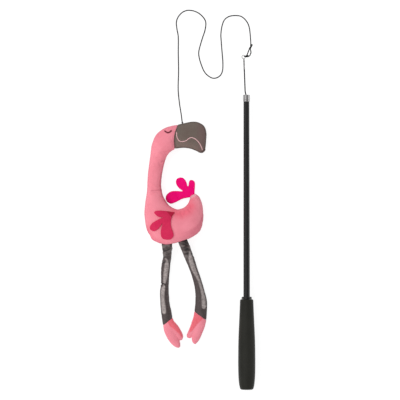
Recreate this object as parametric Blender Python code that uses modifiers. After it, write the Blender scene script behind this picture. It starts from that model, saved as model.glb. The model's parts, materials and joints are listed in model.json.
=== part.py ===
"""Telescopic cat teaser wand with a plush flamingo on a cord, laid out flat.

Metres, +Z up, on the floor z = 0. The wand lies along +Y with its butt at -Y, the toy lies on its
side at -X, and the origin is on the floor below the middle of the wand and toy.
"""

import math

import bmesh
import bpy
from mathutils import Matrix, Vector
from mathutils.bvhtree import BVHTree
from mathutils.geometry import delaunay_2d_cdt

# Fits shared by all pieces
SLIDE_GAP = 0.0001  # radial play of a sliding or pressed sleeve
SEAM_GAP = 0.0004  # between sewn pieces, and between cord and knot
FACE_GAP = 0.0003  # between rigid pieces that butt

# Grip
GRIP_LENGTH = 0.1057
GRIP_PROFILE = (  # share of the length from the butt, radius
    (0.055, 0.0089), (0.112, 0.0095), (0.189, 0.0099), (0.331, 0.01005), (0.553, 0.0097),
    (0.774, 0.0087), (0.908, 0.0081), (0.987, 0.00778),
)
GRIP_MAX_RADIUS = max(radius for _, radius in GRIP_PROFILE)
GRIP_BUTT_RADIUS = 0.0081
GRIP_BUTT_RIM = 0.0007  # flat ring round the hollow
GRIP_FRONT_FILLET = 0.0010
GRIP_HOLLOW_RADIUS = 0.0048
BUTT_CAP_LENGTH = 0.0120
BUTT_CAP_RIBS = 3
BUTT_CAP_RIB_DEPTH = 0.0004

# Collar in front of the grip
COLLAR_WALL = 0.0021
COLLAR_LENGTH = 0.0026
COLLAR_FILLET = 0.0009

# Telescopic sections
OUTER_REAR_RADIUS = 0.0038
OUTER_FRONT_RADIUS = 0.00342
OUTER_WALL = 0.00032  # at the front
OUTER_BORE = OUTER_FRONT_RADIUS - OUTER_WALL
OUTER_VISIBLE_LENGTH = 0.2281
OUTER_SOCKET_DEPTH = 0.0700
FERRULE_LENGTH = 0.0078
FERRULE_WALL = 0.00053
FERRULE_EDGE = 0.0005
FERRULE_GROOVE = 0.00025  # depth, and half its width
FERRULE_GROOVE_AT = 0.0020  # from the ferrule's rear
LIP_LENGTH = 0.0012  # of the turned in lips that keep the sections in
SECTION_TRAVEL = 0.1900
SECTION_WALL = 0.0003
BUSH_ROOM = 0.00055  # between one tube's bore and the next tube
MIDDLE_RADIUS = OUTER_BORE - BUSH_ROOM
INNER_RADIUS = MIDDLE_RADIUS - SECTION_WALL - BUSH_ROOM
ROD_RADIUS = 0.00075
ROD_LIP_GAP = 0.0002
BUSH_LENGTH = 0.0120
BUSH_FLOOR = 0.0008
BUSH_SLIT = 0.0005
BUSH_SLIT_LENGTH = 0.0096
TIP_BUSH_HOLE = 0.0004
PLUG_LENGTH = 0.0080
PLUG_FLANGE = 0.0012

# Rod outside the ferrule, slightly bent, with its sleeve and eye
ROD_BEND_LENGTH = 0.0120
ROD_KICK = 0.0018
ROD_LEAN = math.radians(2.4)
ROD_BEND = ((-0.8, 0.0), (-0.3, 0.0), (0.0, 0.0), (0.5, 0.58))  # shares of the length and of the kick
ROD_STRAIGHT = 1.8  # share of the bend's length past which the rod is straight
SLEEVE_WALL = 0.0002
SLEEVE_LENGTH = 0.0160
SLEEVE_REACH = 0.0414  # of its front end from the ferrule's face
EYE_WIRE = 0.0004
EYE_RADIUS = 0.00205
EYE_SHANK_IN = 0.0040

# Cord and its knots, from the middle of the eye; on the floor only x and y
CORD_RADIUS = 0.0006
HITCH_ANGLE = math.radians(20)
HITCH_LINK_GAP = 0.0002
HITCH_LUMP_RADIUS = 0.00105
HITCH_LUMP_OFFSET = 0.0017
HITCH_TURN_COUNT = 2
KNOT_TURN_COUNT = 3
KNOT_RADIUS = 0.00115
KNOT_LENGTH = 0.0036
KNOT_CENTRE = (0.0074, 0.0100, -0.00175)
KNOT_ANGLE = math.radians(57.6)
STRAND_LEFT = ((0.0040, 0.0026, 0.0), (0.0051, 0.0052, -0.0007), (0.0059, 0.0075, -0.0013))
STRAND_RIGHT = (
    (0.0052, 0.0007, 0.0), (0.0072, 0.0021, -0.0003), (0.0084, 0.0052, -0.0009),
    (0.0083, 0.0073, -0.0015),
)
KNOT_TAIL = ((0.0089, 0.0121, -0.0008), (0.0094, 0.0134, -0.0006), (0.0100, 0.0148, -0.0007))
CORD_FROM_KNOT = ((0.0082, 0.0124, -0.0024), (0.0084, 0.0165, -0.0038), (0.0078, 0.0259, -0.0078))
CORD_ON_FLOOR = (
    (0.0062, 0.0353), (0.0031, 0.0420), (-0.0026, 0.0473), (-0.0099, 0.0486), (-0.0172, 0.0475),
    (-0.0223, 0.0439), (-0.0252, 0.0374), (-0.0268, 0.0270), (-0.0263, 0.0165), (-0.0253, 0.0040),
    (-0.0245, -0.0075), (-0.0252, -0.0168), (-0.0287, -0.0225), (-0.0350, -0.0248),
    (-0.0411, -0.0224), (-0.0464, -0.0168), (-0.0503, -0.0075), (-0.0525, 0.0008),
    (-0.0526, 0.0071), (-0.0505, 0.0154), (-0.0479, 0.0238), (-0.0455, 0.0311), (-0.0444, 0.0395),
    (-0.0464, 0.0452), (-0.0518, 0.0507), (-0.0580, 0.0538), (-0.0642, 0.0548), (-0.0682, 0.0541),
    (-0.0727, 0.0516), (-0.0768, 0.0466), (-0.0787, 0.0405), (-0.0778, 0.0322), (-0.0764, 0.0238),
    (-0.0764, 0.0040), (-0.0761, -0.0160), (-0.0766, -0.0370),
)
CORD_TO_BEAK = (  # with heights over the floor
    (-0.0752, -0.0530, 0.0019), (-0.0735, -0.0660, 0.0048), (-0.0715, -0.0774, 0.0070),
)
CORD_STEPS = 2

# Toy, from the place where the cord enters the top of the beak
TOY_FROM_EYE = (-0.0714, -0.0779)
FORM_SIDES = 18
LIMB_SIDES = 14
SEAM_PINCH = 0.15
FLOOR_CUT = 0.0005
TORSO = (  # outer edge, inner edge, half of the thickness, lift off the floor
    ((-0.0056, -0.0016), (-0.0095, -0.0291), 0.0085, 0),
    ((-0.0137, -0.0027), (-0.0118, -0.0300), 0.0095, 0),
    ((-0.0230, -0.0065), (-0.0145, -0.0317), 0.0100, 0),
    ((-0.0313, -0.0137), (-0.0168, -0.0338), 0.0100, 0),
    ((-0.0359, -0.0237), (-0.0192, -0.0373), 0.0093, 0),
    ((-0.0378, -0.0348), (-0.0216, -0.0431), 0.0086, 0),
    ((-0.0391, -0.0460), (-0.0238, -0.0519), 0.0080, 0),
    ((-0.0403, -0.0588), (-0.0253, -0.0617), 0.0078, 0),
    ((-0.0409, -0.0722), (-0.0255, -0.0722), 0.0079, 0),
    ((-0.0418, -0.0835), (-0.0238, -0.0819), 0.0088, 0),
    ((-0.0432, -0.0944), (-0.0209, -0.0897), 0.0103, 0),
    ((-0.0436, -0.1066), (-0.0168, -0.0947), 0.0120, 0),
    ((-0.0415, -0.1224), (-0.0125, -0.0980), 0.0134, 0),
    ((-0.0335, -0.1354), (-0.0088, -0.0996), 0.0142, 0),
    ((-0.0201, -0.1406), (-0.0057, -0.1000), 0.0143, 0),
    ((-0.0049, -0.1391), (-0.0025, -0.0995), 0.0140, 0),
    ((0.0091, -0.1337), (0.0008, -0.0983), 0.0133, 0), ((0.0200, -0.1253), (0.0039, -0.0961), 0.0120, 0),
    ((0.0236, -0.1131), (0.0065, -0.0930), 0.0100, 0), ((0.0236, -0.1020), (0.0082, -0.0896), 0.0080, 0),
    ((0.0221, -0.0929), (0.0092, -0.0863), 0.0060, 0), ((0.0190, -0.0860), (0.0104, -0.0840), 0.0043, 0),
    ((0.0151, -0.0828), (0.0125, -0.0827), 0.0025, 0),
)
TORSO_PIECES = (  # name, first and last station
    ("toy_head", 0, 4), ("toy_neck", 4, 9), ("toy_breast", 9, 13), ("toy_belly", 13, 16),
    ("toy_rump", 16, 22),
)
BEAK = (
    ((-0.0051, -0.0011), (-0.0088, -0.0288), 0.0076, 0), ((0.0027, 0.0007), (0.0009, -0.0277), 0.0074, 0),
    ((0.0109, 0.0021), (0.0089, -0.0284), 0.0072, 0), ((0.0185, 0.0014), (0.0141, -0.0303), 0.0068, 0),
    ((0.0246, -0.0034), (0.0171, -0.0319), 0.0062, 0), ((0.0273, -0.0114), (0.0189, -0.0329), 0.0054, 0),
    ((0.0273, -0.0214), (0.0204, -0.0336), 0.0044, 0), ((0.0265, -0.0301), (0.0218, -0.0341), 0.0030, 0),
)
LEG_LEFT = (
    ((-0.0241, -0.1416), (-0.0127, -0.1416), 0.0012, 0.0131),
    ((-0.0231, -0.1485), (-0.0134, -0.1485), 0.0030, 0.0082),
    ((-0.0224, -0.1557), (-0.0140, -0.1557), 0.0034, 0.0040),
    ((-0.0250, -0.1633), (-0.0150, -0.1633), 0.0036, 0.0010),
    ((-0.0252, -0.1798), (-0.0162, -0.1798), 0.0032, 0),
    ((-0.0251, -0.1880), (-0.0168, -0.1880), 0.0029, 0),
    ((-0.0264, -0.1963), (-0.0166, -0.1963), 0.0032, 0),
    ((-0.0258, -0.2083), (-0.0158, -0.2083), 0.0032, 0),
    ((-0.0244, -0.2188), (-0.0144, -0.2176), 0.0030, 0),
    ((-0.0224, -0.2342), (-0.0130, -0.2267), 0.0027, 0),
)
LEG_RIGHT = (
    ((-0.0042, -0.1400), (0.0051, -0.1371), 0.0012, 0.0131),
    ((-0.0006, -0.1487), (0.0090, -0.1471), 0.0030, 0.0082),
    ((0.0043, -0.1604), (0.0135, -0.1576), 0.0032, 0.0034),
    ((0.0092, -0.1727), (0.0178, -0.1692), 0.0032, 0.0006),
    ((0.0132, -0.1855), (0.0220, -0.1823), 0.0032, 0), ((0.0152, -0.1975), (0.0258, -0.1954), 0.0034, 0),
    ((0.0152, -0.2088), (0.0283, -0.2088), 0.0034, 0), ((0.0141, -0.2188), (0.0270, -0.2290), 0.0028, 0),
)
FOOT_LEFT_LONG_TOE = (
    ((-0.0222, -0.2347), (-0.0128, -0.2272), 0.0027, 0),
    ((-0.0206, -0.2431), (-0.0090, -0.2375), 0.0029, 0),
    ((-0.0162, -0.2519), (-0.0067, -0.2463), 0.0029, 0),
    ((-0.0118, -0.2577), (-0.0046, -0.2526), 0.0026, 0),
    ((-0.0078, -0.2608), (-0.0033, -0.2568), 0.0021, 0),
    ((-0.0053, -0.2616), (-0.0032, -0.2596), 0.0015, 0),
)
FOOT_LEFT_SHORT_TOE = (
    ((-0.0175, -0.2352), (-0.0117, -0.2305), 0.0027, 0),
    ((-0.0142, -0.2421), (-0.0053, -0.2363), 0.0029, 0),
    ((-0.0090, -0.2491), (-0.0006, -0.2441), 0.0027, 0), ((-0.0055, -0.2518), (0.0004, -0.2489), 0.0022, 0),
    ((-0.0039, -0.2526), (-0.0006, -0.2518), 0.0015, 0),
)
FOOT_RIGHT_LONG_TOE = (
    ((0.0139, -0.2193), (0.0268, -0.2295), 0.0028, 0), ((0.0125, -0.2300), (0.0251, -0.2369), 0.0029, 0),
    ((0.0118, -0.2433), (0.0221, -0.2464), 0.0029, 0), ((0.0110, -0.2509), (0.0194, -0.2526), 0.0026, 0),
    ((0.0119, -0.2554), (0.0172, -0.2557), 0.0021, 0), ((0.0134, -0.2571), (0.0155, -0.2572), 0.0015, 0),
)
FOOT_RIGHT_SHORT_TOE = (
    ((0.0135, -0.2240), (0.0200, -0.2290), 0.0027, 0), ((0.0107, -0.2321), (0.0190, -0.2356), 0.0029, 0),
    ((0.0077, -0.2407), (0.0151, -0.2440), 0.0027, 0), ((0.0053, -0.2466), (0.0111, -0.2484), 0.0022, 0),
    ((0.0055, -0.2493), (0.0090, -0.2501), 0.0015, 0),
)

# Felt pieces, from the same place as the toy; the first and last points are the sewn root
FELT_THICKNESS = 0.0012
FELT_SPACING = 0.0030
WING_CLEARANCE = 0.0004
WING = (
    (-0.0093, -0.1033), (-0.0174, -0.1020), (-0.0252, -0.1014), (-0.0307, -0.1017), (-0.0333, -0.1033),
    (-0.0313, -0.1064), (-0.0274, -0.1089), (-0.0231, -0.1094), (-0.0285, -0.1117), (-0.0353, -0.1159),
    (-0.0384, -0.1204), (-0.0375, -0.1237), (-0.0335, -0.1254), (-0.0291, -0.1231), (-0.0252, -0.1187),
    (-0.0235, -0.1164), (-0.0250, -0.1221), (-0.0255, -0.1287), (-0.0241, -0.1333), (-0.0202, -0.1351),
    (-0.0140, -0.1349), (-0.0106, -0.1309), (-0.0112, -0.1265), (-0.0132, -0.1209), (-0.0137, -0.1142),
    (-0.0124, -0.1080),
)
TAIL = (
    (0.0130, -0.0807), (0.0135, -0.0751), (0.0139, -0.0701), (0.0131, -0.0673), (0.0105, -0.0660),
    (0.0083, -0.0667), (0.0075, -0.0695), (0.0069, -0.0742), (0.0050, -0.0735), (0.0039, -0.0684),
    (0.0011, -0.0641), (-0.0028, -0.0631), (-0.0062, -0.0645), (-0.0074, -0.0673), (-0.0062, -0.0712),
    (-0.0028, -0.0751), (0.0006, -0.0785), (-0.0084, -0.0787), (-0.0140, -0.0795), (-0.0185, -0.0829),
    (-0.0196, -0.0869), (-0.0185, -0.0902), (-0.0152, -0.0927), (-0.0118, -0.0927), (-0.0062, -0.0902),
    (-0.0006, -0.0874), (0.0040, -0.0862), (0.0081, -0.0855),
)
TAIL_ROOT_HEIGHT = 0.0026
TAIL_TIP_HEIGHT = 0.0002
TAIL_REACH = 0.0236

# Finish of the facets
TURNED_STEPS = 28
GRIP_STEPS = 36
FINE_STEPS = 16
EYE_STEPS = 24
LINK_STEPS = 16
WIRE_SIDES = 8
CURVE_STEPS = 2
FELT_STEPS = 2
SMOOTH_ANGLE = math.radians(35)

# Where the pieces lie, worked out from their lengths, so that the origin is in the middle
AXIS_HEIGHT = GRIP_MAX_RADIUS
COLLAR_START = GRIP_LENGTH + FACE_GAP
TUBE_START = GRIP_LENGTH - OUTER_SOCKET_DEPTH
PLUG_SEAT = TUBE_START - SLIDE_GAP
FERRULE_START = COLLAR_START + COLLAR_LENGTH + OUTER_VISIBLE_LENGTH
FERRULE_FACE = FERRULE_START + FERRULE_LENGTH
SECTION_LENGTH = SECTION_TRAVEL + LIP_LENGTH + FACE_GAP + BUSH_LENGTH
EYE_REACH = SLEEVE_REACH + FACE_GAP + EYE_RADIUS + EYE_WIRE  # of the eye's middle from the ferrule's face
EYE_SHIFT = ROD_KICK + (EYE_REACH - ROD_BEND_LENGTH) * math.tan(ROD_LEAN)  # to -X
WAND_LENGTH = FERRULE_FACE + EYE_REACH + EYE_RADIUS + EYE_WIRE
BUTT_Y = -WAND_LENGTH / 2
TOY_REACH = EYE_SHIFT - TOY_FROM_EYE[0] - min(outer[0] for outer, *_ in TORSO)  # from the wand's axis
WAND_X = (TOY_REACH - GRIP_MAX_RADIUS) / 2


def clear_scene():
    for thing in list(bpy.data.objects):
        bpy.data.objects.remove(thing, do_unlink=True)


def new_collection(name):
    collection = bpy.data.collections.new(name)
    bpy.context.scene.collection.children.link(collection)
    return collection


def srgb(red, green, blue):
    """A colour given as 0 to 255 on screen, as linear values."""
    def linear(value):
        value /= 255
        return value / 12.92 if value <= 0.04045 else ((value + 0.055) / 1.055) ** 2.4
    return linear(red), linear(green), linear(blue), 1.0


def new_material(name, colour, roughness, metallic=0.0):
    made = bpy.data.materials.new(name)
    made.use_nodes = True
    shader = made.node_tree.nodes["Principled BSDF"]
    shader.inputs["Base Color"].default_value = colour
    shader.inputs["Roughness"].default_value = roughness
    shader.inputs["Metallic"].default_value = metallic
    made.diffuse_color = colour
    return made


def add_object(name, data, material, parent, collection=None):
    """Links an object whose data is in world coordinates, carried by the pivot named parent."""
    made = bpy.data.objects.new(name, data)
    (collection or PARTS).objects.link(made)
    if material:
        data.materials.append(MATERIALS[material])
    carry(made, parent)
    return made


def carry(child, pivot):
    if pivot:
        child.parent = PIVOTS[pivot]
        child.matrix_parent_inverse = Matrix.Translation(-PIVOT_PLACES[pivot])


def add_pivot(name, place, parent=None):
    """An empty on a joint's axis."""
    made = bpy.data.objects.new(name, None)
    made.empty_display_size = 0.01
    PARTS.objects.link(made)
    made.location = place
    carry(made, parent)
    PIVOTS[name] = made
    PIVOT_PLACES[name] = Vector(place)


def smooth_through(rows, steps):
    """Rows of numbers read from one smooth curve through the given rows, steps to each stretch."""
    ends = [tuple(2 * a - b for a, b in zip(rows[0], rows[1]))]
    tails = [tuple(2 * a - b for a, b in zip(rows[-1], rows[-2]))]
    known = ends + [tuple(row) for row in rows] + tails
    made = []
    for i in range(1, len(known) - 2):
        for k in range(steps):
            t = k / steps
            made.append(tuple(
                b + (c - a) * t / 2 + (a - 2.5 * b + 2 * c - d / 2) * t**2 + (1.5 * (b - c) + (d - a) / 2) * t**3
                for a, b, c, d in zip(*known[i - 1:i + 3])
            ))
    made.append(tuple(rows[-1]))
    return made


def arc(centre, radius, start, end, steps=4):
    """Points of an arc in a turned profile, angles in degrees from the radius axis."""
    angles = [math.radians(start + (end - start) * k / steps) for k in range(steps + 1)]
    return [(centre[0] + radius * math.cos(a), centre[1] + radius * math.sin(a)) for a in angles]


def turned(name, profile, material, parent, place=None, lean=0.0, steps=TURNED_STEPS, collection=None):
    """A piece turned about the wand's axis: profile holds (radius, distance along the axis).

    The profile is closed, unless both its ends are on the axis.
    """
    on_axis = abs(profile[0][0]) < 1e-9 and abs(profile[-1][0]) < 1e-9
    area = sum(a[0] * b[1] - b[0] * a[1] for a, b in zip(profile, profile[1:] + profile[:1]))
    if area > 0:
        profile = profile[::-1]
    mesh = bpy.data.meshes.new(name)
    count = len(profile)
    edges = [(i, i + 1) for i in range(count - 1)]
    if not on_axis:
        edges.append((count - 1, 0))
    mesh.from_pydata([(radius, 0, along) for radius, along in profile], edges, [])
    made = add_object(name, mesh, material, None, collection)
    screw = made.modifiers.new("Turn", "SCREW")
    screw.axis = "Z"
    screw.angle = math.tau
    screw.steps = steps
    screw.render_steps = steps
    screw.use_merge_vertices = True
    screw.merge_threshold = 0.00001
    screw.use_smooth_shade = True
    place = place or (WAND_X, BUTT_Y, AXIS_HEIGHT)
    along_y = Matrix.Rotation(-math.pi / 2, 4, "X")
    made.matrix_world = Matrix.Translation(place) @ Matrix.Rotation(lean, 4, "Z") @ along_y
    if parent:
        basis = made.matrix_world.copy()
        carry(made, parent)
        made.matrix_basis = basis
    return made


def tube(name, points, radius, material, parent):
    """A round tube with closed ends along a list of points."""
    curve = bpy.data.curves.new(name, "CURVE")
    curve.dimensions = "3D"
    curve.bevel_depth = radius
    curve.bevel_resolution = 2
    curve.use_fill_caps = True
    spline = curve.splines.new("POLY")
    spline.points.add(len(points) - 1)
    for point, (x, y, z) in zip(spline.points, points):
        point.co = (x, y, z, 1)
    return add_object(name, curve, material, parent)


def boolean(target, tool, operation):
    """Cuts or joins with another object, which then stays as a guide."""
    change = target.modifiers.new(operation.title(), "BOOLEAN")
    change.operation = operation
    change.object = tool
    change.solver = "EXACT"
    tool.hide_render = True
    tool.display_type = "WIRE"


def box_cutter(name, size, centre):
    mesh = bpy.data.meshes.new(name)
    form = bmesh.new()
    bmesh.ops.create_cube(form, size=1, matrix=Matrix.Diagonal((*size, 1)))
    form.to_mesh(mesh)
    form.free()
    cutter = add_object(name, mesh, None, None, CUTTERS)
    cutter.location = centre
    return cutter


def along_wand(distance, x=0.0):
    return WAND_X + x, BUTT_Y + distance, AXIS_HEIGHT


def on_lean(distance):
    """The bent rod's middle at a distance in front of the ferrule, past its bend."""
    drift = (distance - ROD_BEND_LENGTH) * math.tan(ROD_LEAN)
    return along_wand(FERRULE_FACE + distance, -ROD_KICK - drift)


def from_eye(x, y, z=0.0):
    middle = on_lean(EYE_REACH)
    return middle[0] + x, middle[1] + y, middle[2] + z


def over_floor(x, y, z=0.0):
    """A place given from the eye in x and y, and from the floor in z."""
    return (*from_eye(x, y)[:2], z)


def make_grip():
    """Moulded grip with its rear hollow, the plug that closes it, and the collar."""
    body = smooth_through(GRIP_PROFILE, CURVE_STEPS)
    rim = GRIP_HOLLOW_RADIUS + GRIP_BUTT_RIM
    butt_fillet = GRIP_BUTT_RADIUS - rim
    front_radius = GRIP_PROFILE[-1][1] - GRIP_FRONT_FILLET
    bore = OUTER_REAR_RADIUS + SLIDE_GAP
    depth = PLUG_SEAT - PLUG_FLANGE - FACE_GAP
    profile = [(GRIP_HOLLOW_RADIUS, depth), (GRIP_HOLLOW_RADIUS, 0)]
    profile += arc((rim, butt_fillet), butt_fillet, -90, -15)
    profile += [(radius, share * GRIP_LENGTH) for share, radius in body]
    profile += arc((front_radius, GRIP_LENGTH - GRIP_FRONT_FILLET), GRIP_FRONT_FILLET, 20, 90, 3)
    profile += [(bore, GRIP_LENGTH), (bore, depth)]
    turned("grip", profile, "grip", None, steps=GRIP_STEPS)

    cap = GRIP_HOLLOW_RADIUS - SLIDE_GAP
    low = cap - BUTT_CAP_RIB_DEPTH
    pitch = BUTT_CAP_LENGTH / (2 * BUTT_CAP_RIBS + 1)
    slope = BUTT_CAP_RIB_DEPTH / 2
    profile = [(0, 0), (cap, 0), (cap, pitch)]
    for rib in range(BUTT_CAP_RIBS):
        start = pitch * (2 * rib + 1)
        profile += [(low, start + slope), (low, start + pitch), (cap, start + pitch + slope)]
        profile += [(cap, start + 2 * pitch)]
    profile += [(0, BUTT_CAP_LENGTH)]
    turned("butt_cap", profile, "grip", None)

    inner = OUTER_REAR_RADIUS + SLIDE_GAP
    low_edge = COLLAR_START + COLLAR_FILLET
    high_edge = COLLAR_START + COLLAR_LENGTH - COLLAR_FILLET
    rim = inner + COLLAR_WALL - COLLAR_FILLET
    profile = [(inner, COLLAR_START)] + arc((rim, low_edge), COLLAR_FILLET, -90, 0)
    profile += arc((rim, high_edge), COLLAR_FILLET, 0, 90) + [(inner, COLLAR_START + COLLAR_LENGTH)]
    turned("grip_collar", profile, "collar", None)


def make_outer_tube():
    """Coated outer tube, its rear plug and the ferrule whose lip keeps the middle section in."""
    front = FERRULE_FACE - LIP_LENGTH - SLIDE_GAP
    profile = [(OUTER_BORE, TUBE_START), (OUTER_REAR_RADIUS, TUBE_START)]
    profile += [(OUTER_REAR_RADIUS, COLLAR_START + COLLAR_LENGTH)]
    profile += [(OUTER_FRONT_RADIUS, FERRULE_START - FACE_GAP)]
    profile += [(OUTER_FRONT_RADIUS, front), (OUTER_BORE, front)]
    turned("outer_tube", profile, "black_coat", None)

    plug = OUTER_BORE - SLIDE_GAP
    flange = OUTER_REAR_RADIUS - SLIDE_GAP
    rear = PLUG_SEAT - PLUG_FLANGE
    profile = [(0, rear), (flange, rear), (flange, PLUG_SEAT), (plug, PLUG_SEAT)]
    profile += [(plug, PLUG_SEAT + PLUG_LENGTH), (0, PLUG_SEAT + PLUG_LENGTH)]
    turned("rear_plug", profile, "grip", None)

    sleeve = OUTER_FRONT_RADIUS + SLIDE_GAP
    lip = MIDDLE_RADIUS + SLIDE_GAP
    outer = sleeve + FERRULE_WALL
    groove = FERRULE_START + FERRULE_GROOVE_AT
    profile = [(sleeve, FERRULE_START), (outer, FERRULE_START), (outer, groove - FERRULE_GROOVE)]
    profile += [(outer - FERRULE_GROOVE, groove), (outer, groove + FERRULE_GROOVE)]
    profile += arc((outer - FERRULE_EDGE, FERRULE_FACE - FERRULE_EDGE), FERRULE_EDGE, 0, 90)
    profile += [(lip, FERRULE_FACE), (lip, FERRULE_FACE - LIP_LENGTH), (sleeve, FERRULE_FACE - LIP_LENGTH)]
    turned("tube_ferrule", profile, "bright_metal", None)


def make_section(name, radius, next_radius, lip_gap, pivot):
    """A sliding tube, its front end turned in to keep the next section."""
    rear = FERRULE_FACE - SECTION_LENGTH
    bore = radius - SECTION_WALL
    lip = next_radius + lip_gap
    profile = [(bore, rear), (radius, rear), (radius, FERRULE_FACE - LIP_LENGTH / 2)]
    profile += [(radius - SECTION_WALL / 2, FERRULE_FACE), (lip, FERRULE_FACE)]
    profile += [(lip, FERRULE_FACE - LIP_LENGTH), (bore, FERRULE_FACE - LIP_LENGTH)]
    turned(name, profile, "steel", pivot)
    return bore


def make_bush(name, inner_radius, outer_radius, floor_radius, pivot):
    """A split sleeve pressed on a section's rear end, which rubs in the tube around it."""
    seat = FERRULE_FACE - SECTION_LENGTH - SLIDE_GAP
    front = seat + BUSH_LENGTH
    chamfer = (outer_radius - inner_radius) / 3
    profile = [(floor_radius, seat - BUSH_FLOOR), (outer_radius - chamfer, seat - BUSH_FLOOR)]
    profile += [(outer_radius, seat - BUSH_FLOOR + chamfer), (outer_radius, front - chamfer)]
    profile += [(outer_radius - chamfer, front), (inner_radius, front)]
    profile += [(inner_radius, seat), (floor_radius, seat)]
    bush = turned(name, profile, "brass", pivot)
    reach = outer_radius + BUSH_SLIT
    centre = along_wand(front - BUSH_SLIT_LENGTH / 2 + BUSH_SLIT)
    size = (BUSH_SLIT, BUSH_SLIT_LENGTH, reach)
    slit = box_cutter(name + "_slit", size, (centre[0], centre[1], centre[2] + reach / 2))
    boolean(bush, slit, "DIFFERENCE")


def make_sections():
    middle_bore = make_section("middle_tube", MIDDLE_RADIUS, INNER_RADIUS, SLIDE_GAP, "middle_slide")
    make_bush("middle_bush", MIDDLE_RADIUS + SLIDE_GAP, OUTER_BORE - SLIDE_GAP, middle_bore, "middle_slide")
    inner_bore = make_section("inner_tube", INNER_RADIUS, ROD_RADIUS, ROD_LIP_GAP, "inner_slide")
    make_bush("inner_bush", INNER_RADIUS + SLIDE_GAP, middle_bore - SLIDE_GAP, inner_bore, "inner_slide")
    make_bush("tip_bush", ROD_RADIUS + SLIDE_GAP, inner_bore - SLIDE_GAP, TIP_BUSH_HOLE, "tip_slide")


def make_tip():
    """Thin bent rod, the crimp sleeve on its end and the eye held in the sleeve."""
    rear = FERRULE_FACE - SECTION_LENGTH
    rod_end = SLEEVE_REACH - EYE_SHANK_IN - FACE_GAP
    bend = [
        along_wand(FERRULE_FACE + share * ROD_BEND_LENGTH, -kick * ROD_KICK) for share, kick in ROD_BEND
    ]
    bend += [on_lean(ROD_BEND_LENGTH), on_lean(ROD_STRAIGHT * ROD_BEND_LENGTH)]
    points = [along_wand(rear)] + smooth_through(bend, CURVE_STEPS) + [on_lean(rod_end)]
    tube("tip_rod", points, ROD_RADIUS, "dark_steel", "tip_slide")

    bore = ROD_RADIUS + SLIDE_GAP
    neck = EYE_WIRE + SLIDE_GAP
    outer = bore + SLEEVE_WALL
    edge = SLEEVE_WALL / 2
    profile = [(bore, -SLEEVE_LENGTH), (outer - edge, -SLEEVE_LENGTH), (outer, edge - SLEEVE_LENGTH)]
    profile += [(outer, -edge), (outer - edge, 0), (neck, 0), (neck, -EYE_SHANK_IN), (bore, -EYE_SHANK_IN)]
    turned("tip_sleeve", profile, "bright_metal", "tip_slide", on_lean(SLEEVE_REACH), ROD_LEAN, FINE_STEPS)

    mesh = bpy.data.meshes.new("tip_eye")
    eye_at = Vector(from_eye(0, 0))
    form = ring_form(EYE_RADIUS, EYE_WIRE, EYE_STEPS)
    form.transform(Matrix.Translation(eye_at))
    form.to_mesh(mesh)
    form.free()
    eye = add_object("tip_eye", mesh, "bright_metal", "tip_slide")
    shank_length = EYE_SHANK_IN + FACE_GAP + 2 * EYE_WIRE
    profile = [(0, 0), (EYE_WIRE, 0), (EYE_WIRE, shank_length), (0, shank_length)]
    shank_at = on_lean(SLEEVE_REACH - EYE_SHANK_IN)
    shank = turned("eye_shank", profile, None, None, shank_at, ROD_LEAN, FINE_STEPS, CUTTERS)
    boolean(eye, shank, "UNION")


def ring_form(radius, wire, steps):
    """A torus in the XY plane about the origin, as a bmesh."""
    form = bmesh.new()
    rings = []
    for i in range(steps):
        a = math.tau * i / steps
        out = Vector((math.cos(a), math.sin(a), 0))
        rings.append([
            form.verts.new(out * (radius + wire * math.cos(math.tau * k / WIRE_SIDES))
                           + Vector((0, 0, wire * math.sin(math.tau * k / WIRE_SIDES))))
            for k in range(WIRE_SIDES)
        ])
    for i in range(steps):
        for k in range(WIRE_SIDES):
            a, b = rings[i], rings[(i + 1) % steps]
            form.faces.new((a[k], b[k], b[(k + 1) % WIRE_SIDES], a[(k + 1) % WIRE_SIDES]))
    return form


def make_knots():
    """Hitch round the eye, the loop's strands, and the knot that closes the loop, with its cut tail."""
    out = Vector((math.cos(HITCH_ANGLE), math.sin(HITCH_ANGLE), 0))
    eye_at = Vector(from_eye(0, 0))
    link_radius = EYE_WIRE + HITCH_LINK_GAP + CORD_RADIUS
    link = ring_form(link_radius, CORD_RADIUS, LINK_STEPS)
    turn = Matrix.Rotation(HITCH_ANGLE, 4, "Z") @ Matrix.Rotation(math.pi / 2, 4, "X")
    link.transform(Matrix.Translation(eye_at + out * EYE_RADIUS) @ turn)
    mesh = bpy.data.meshes.new("hitch_knot")
    link.to_mesh(mesh)
    link.free()
    hitch = add_object("hitch_knot", mesh, "cord", "eye_swing")
    lump_at = eye_at + out * (EYE_RADIUS + HITCH_LUMP_OFFSET)
    profile = wrapped_profile(HITCH_LUMP_RADIUS, 2 * HITCH_LUMP_RADIUS, HITCH_TURN_COUNT)
    lean = HITCH_ANGLE - math.pi / 2
    lump = turned("hitch_lump", profile, None, None, lump_at, lean, FINE_STEPS, CUTTERS)
    boolean(hitch, lump, "UNION")

    profile = wrapped_profile(KNOT_RADIUS, KNOT_LENGTH, KNOT_TURN_COUNT)
    lean = KNOT_ANGLE - math.pi / 2
    turned("loop_knot", profile, "cord", "eye_swing", from_eye(*KNOT_CENTRE), lean, FINE_STEPS)
    for name, route in (
        ("loop_strand_left", STRAND_LEFT), ("loop_strand_right", STRAND_RIGHT), ("knot_tail", KNOT_TAIL),
    ):
        points = smooth_through([from_eye(*point) for point in route], CURVE_STEPS)
        tube(name, points, CORD_RADIUS, "cord", "eye_swing")


def wrapped_profile(radius, length, wraps):
    """Profile of a knot that is wound in a few turns, centred on its own middle."""
    wrap = length / wraps
    waist = radius - wrap / 3
    profile = [(0, -length / 2)]
    for k in range(wraps):
        start = -length / 2 + wrap * k
        profile += [(waist, start), (radius, start + wrap / 3), (radius, start + 2 * wrap / 3)]
    return profile + [(waist, length / 2), (0, length / 2)]


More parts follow.
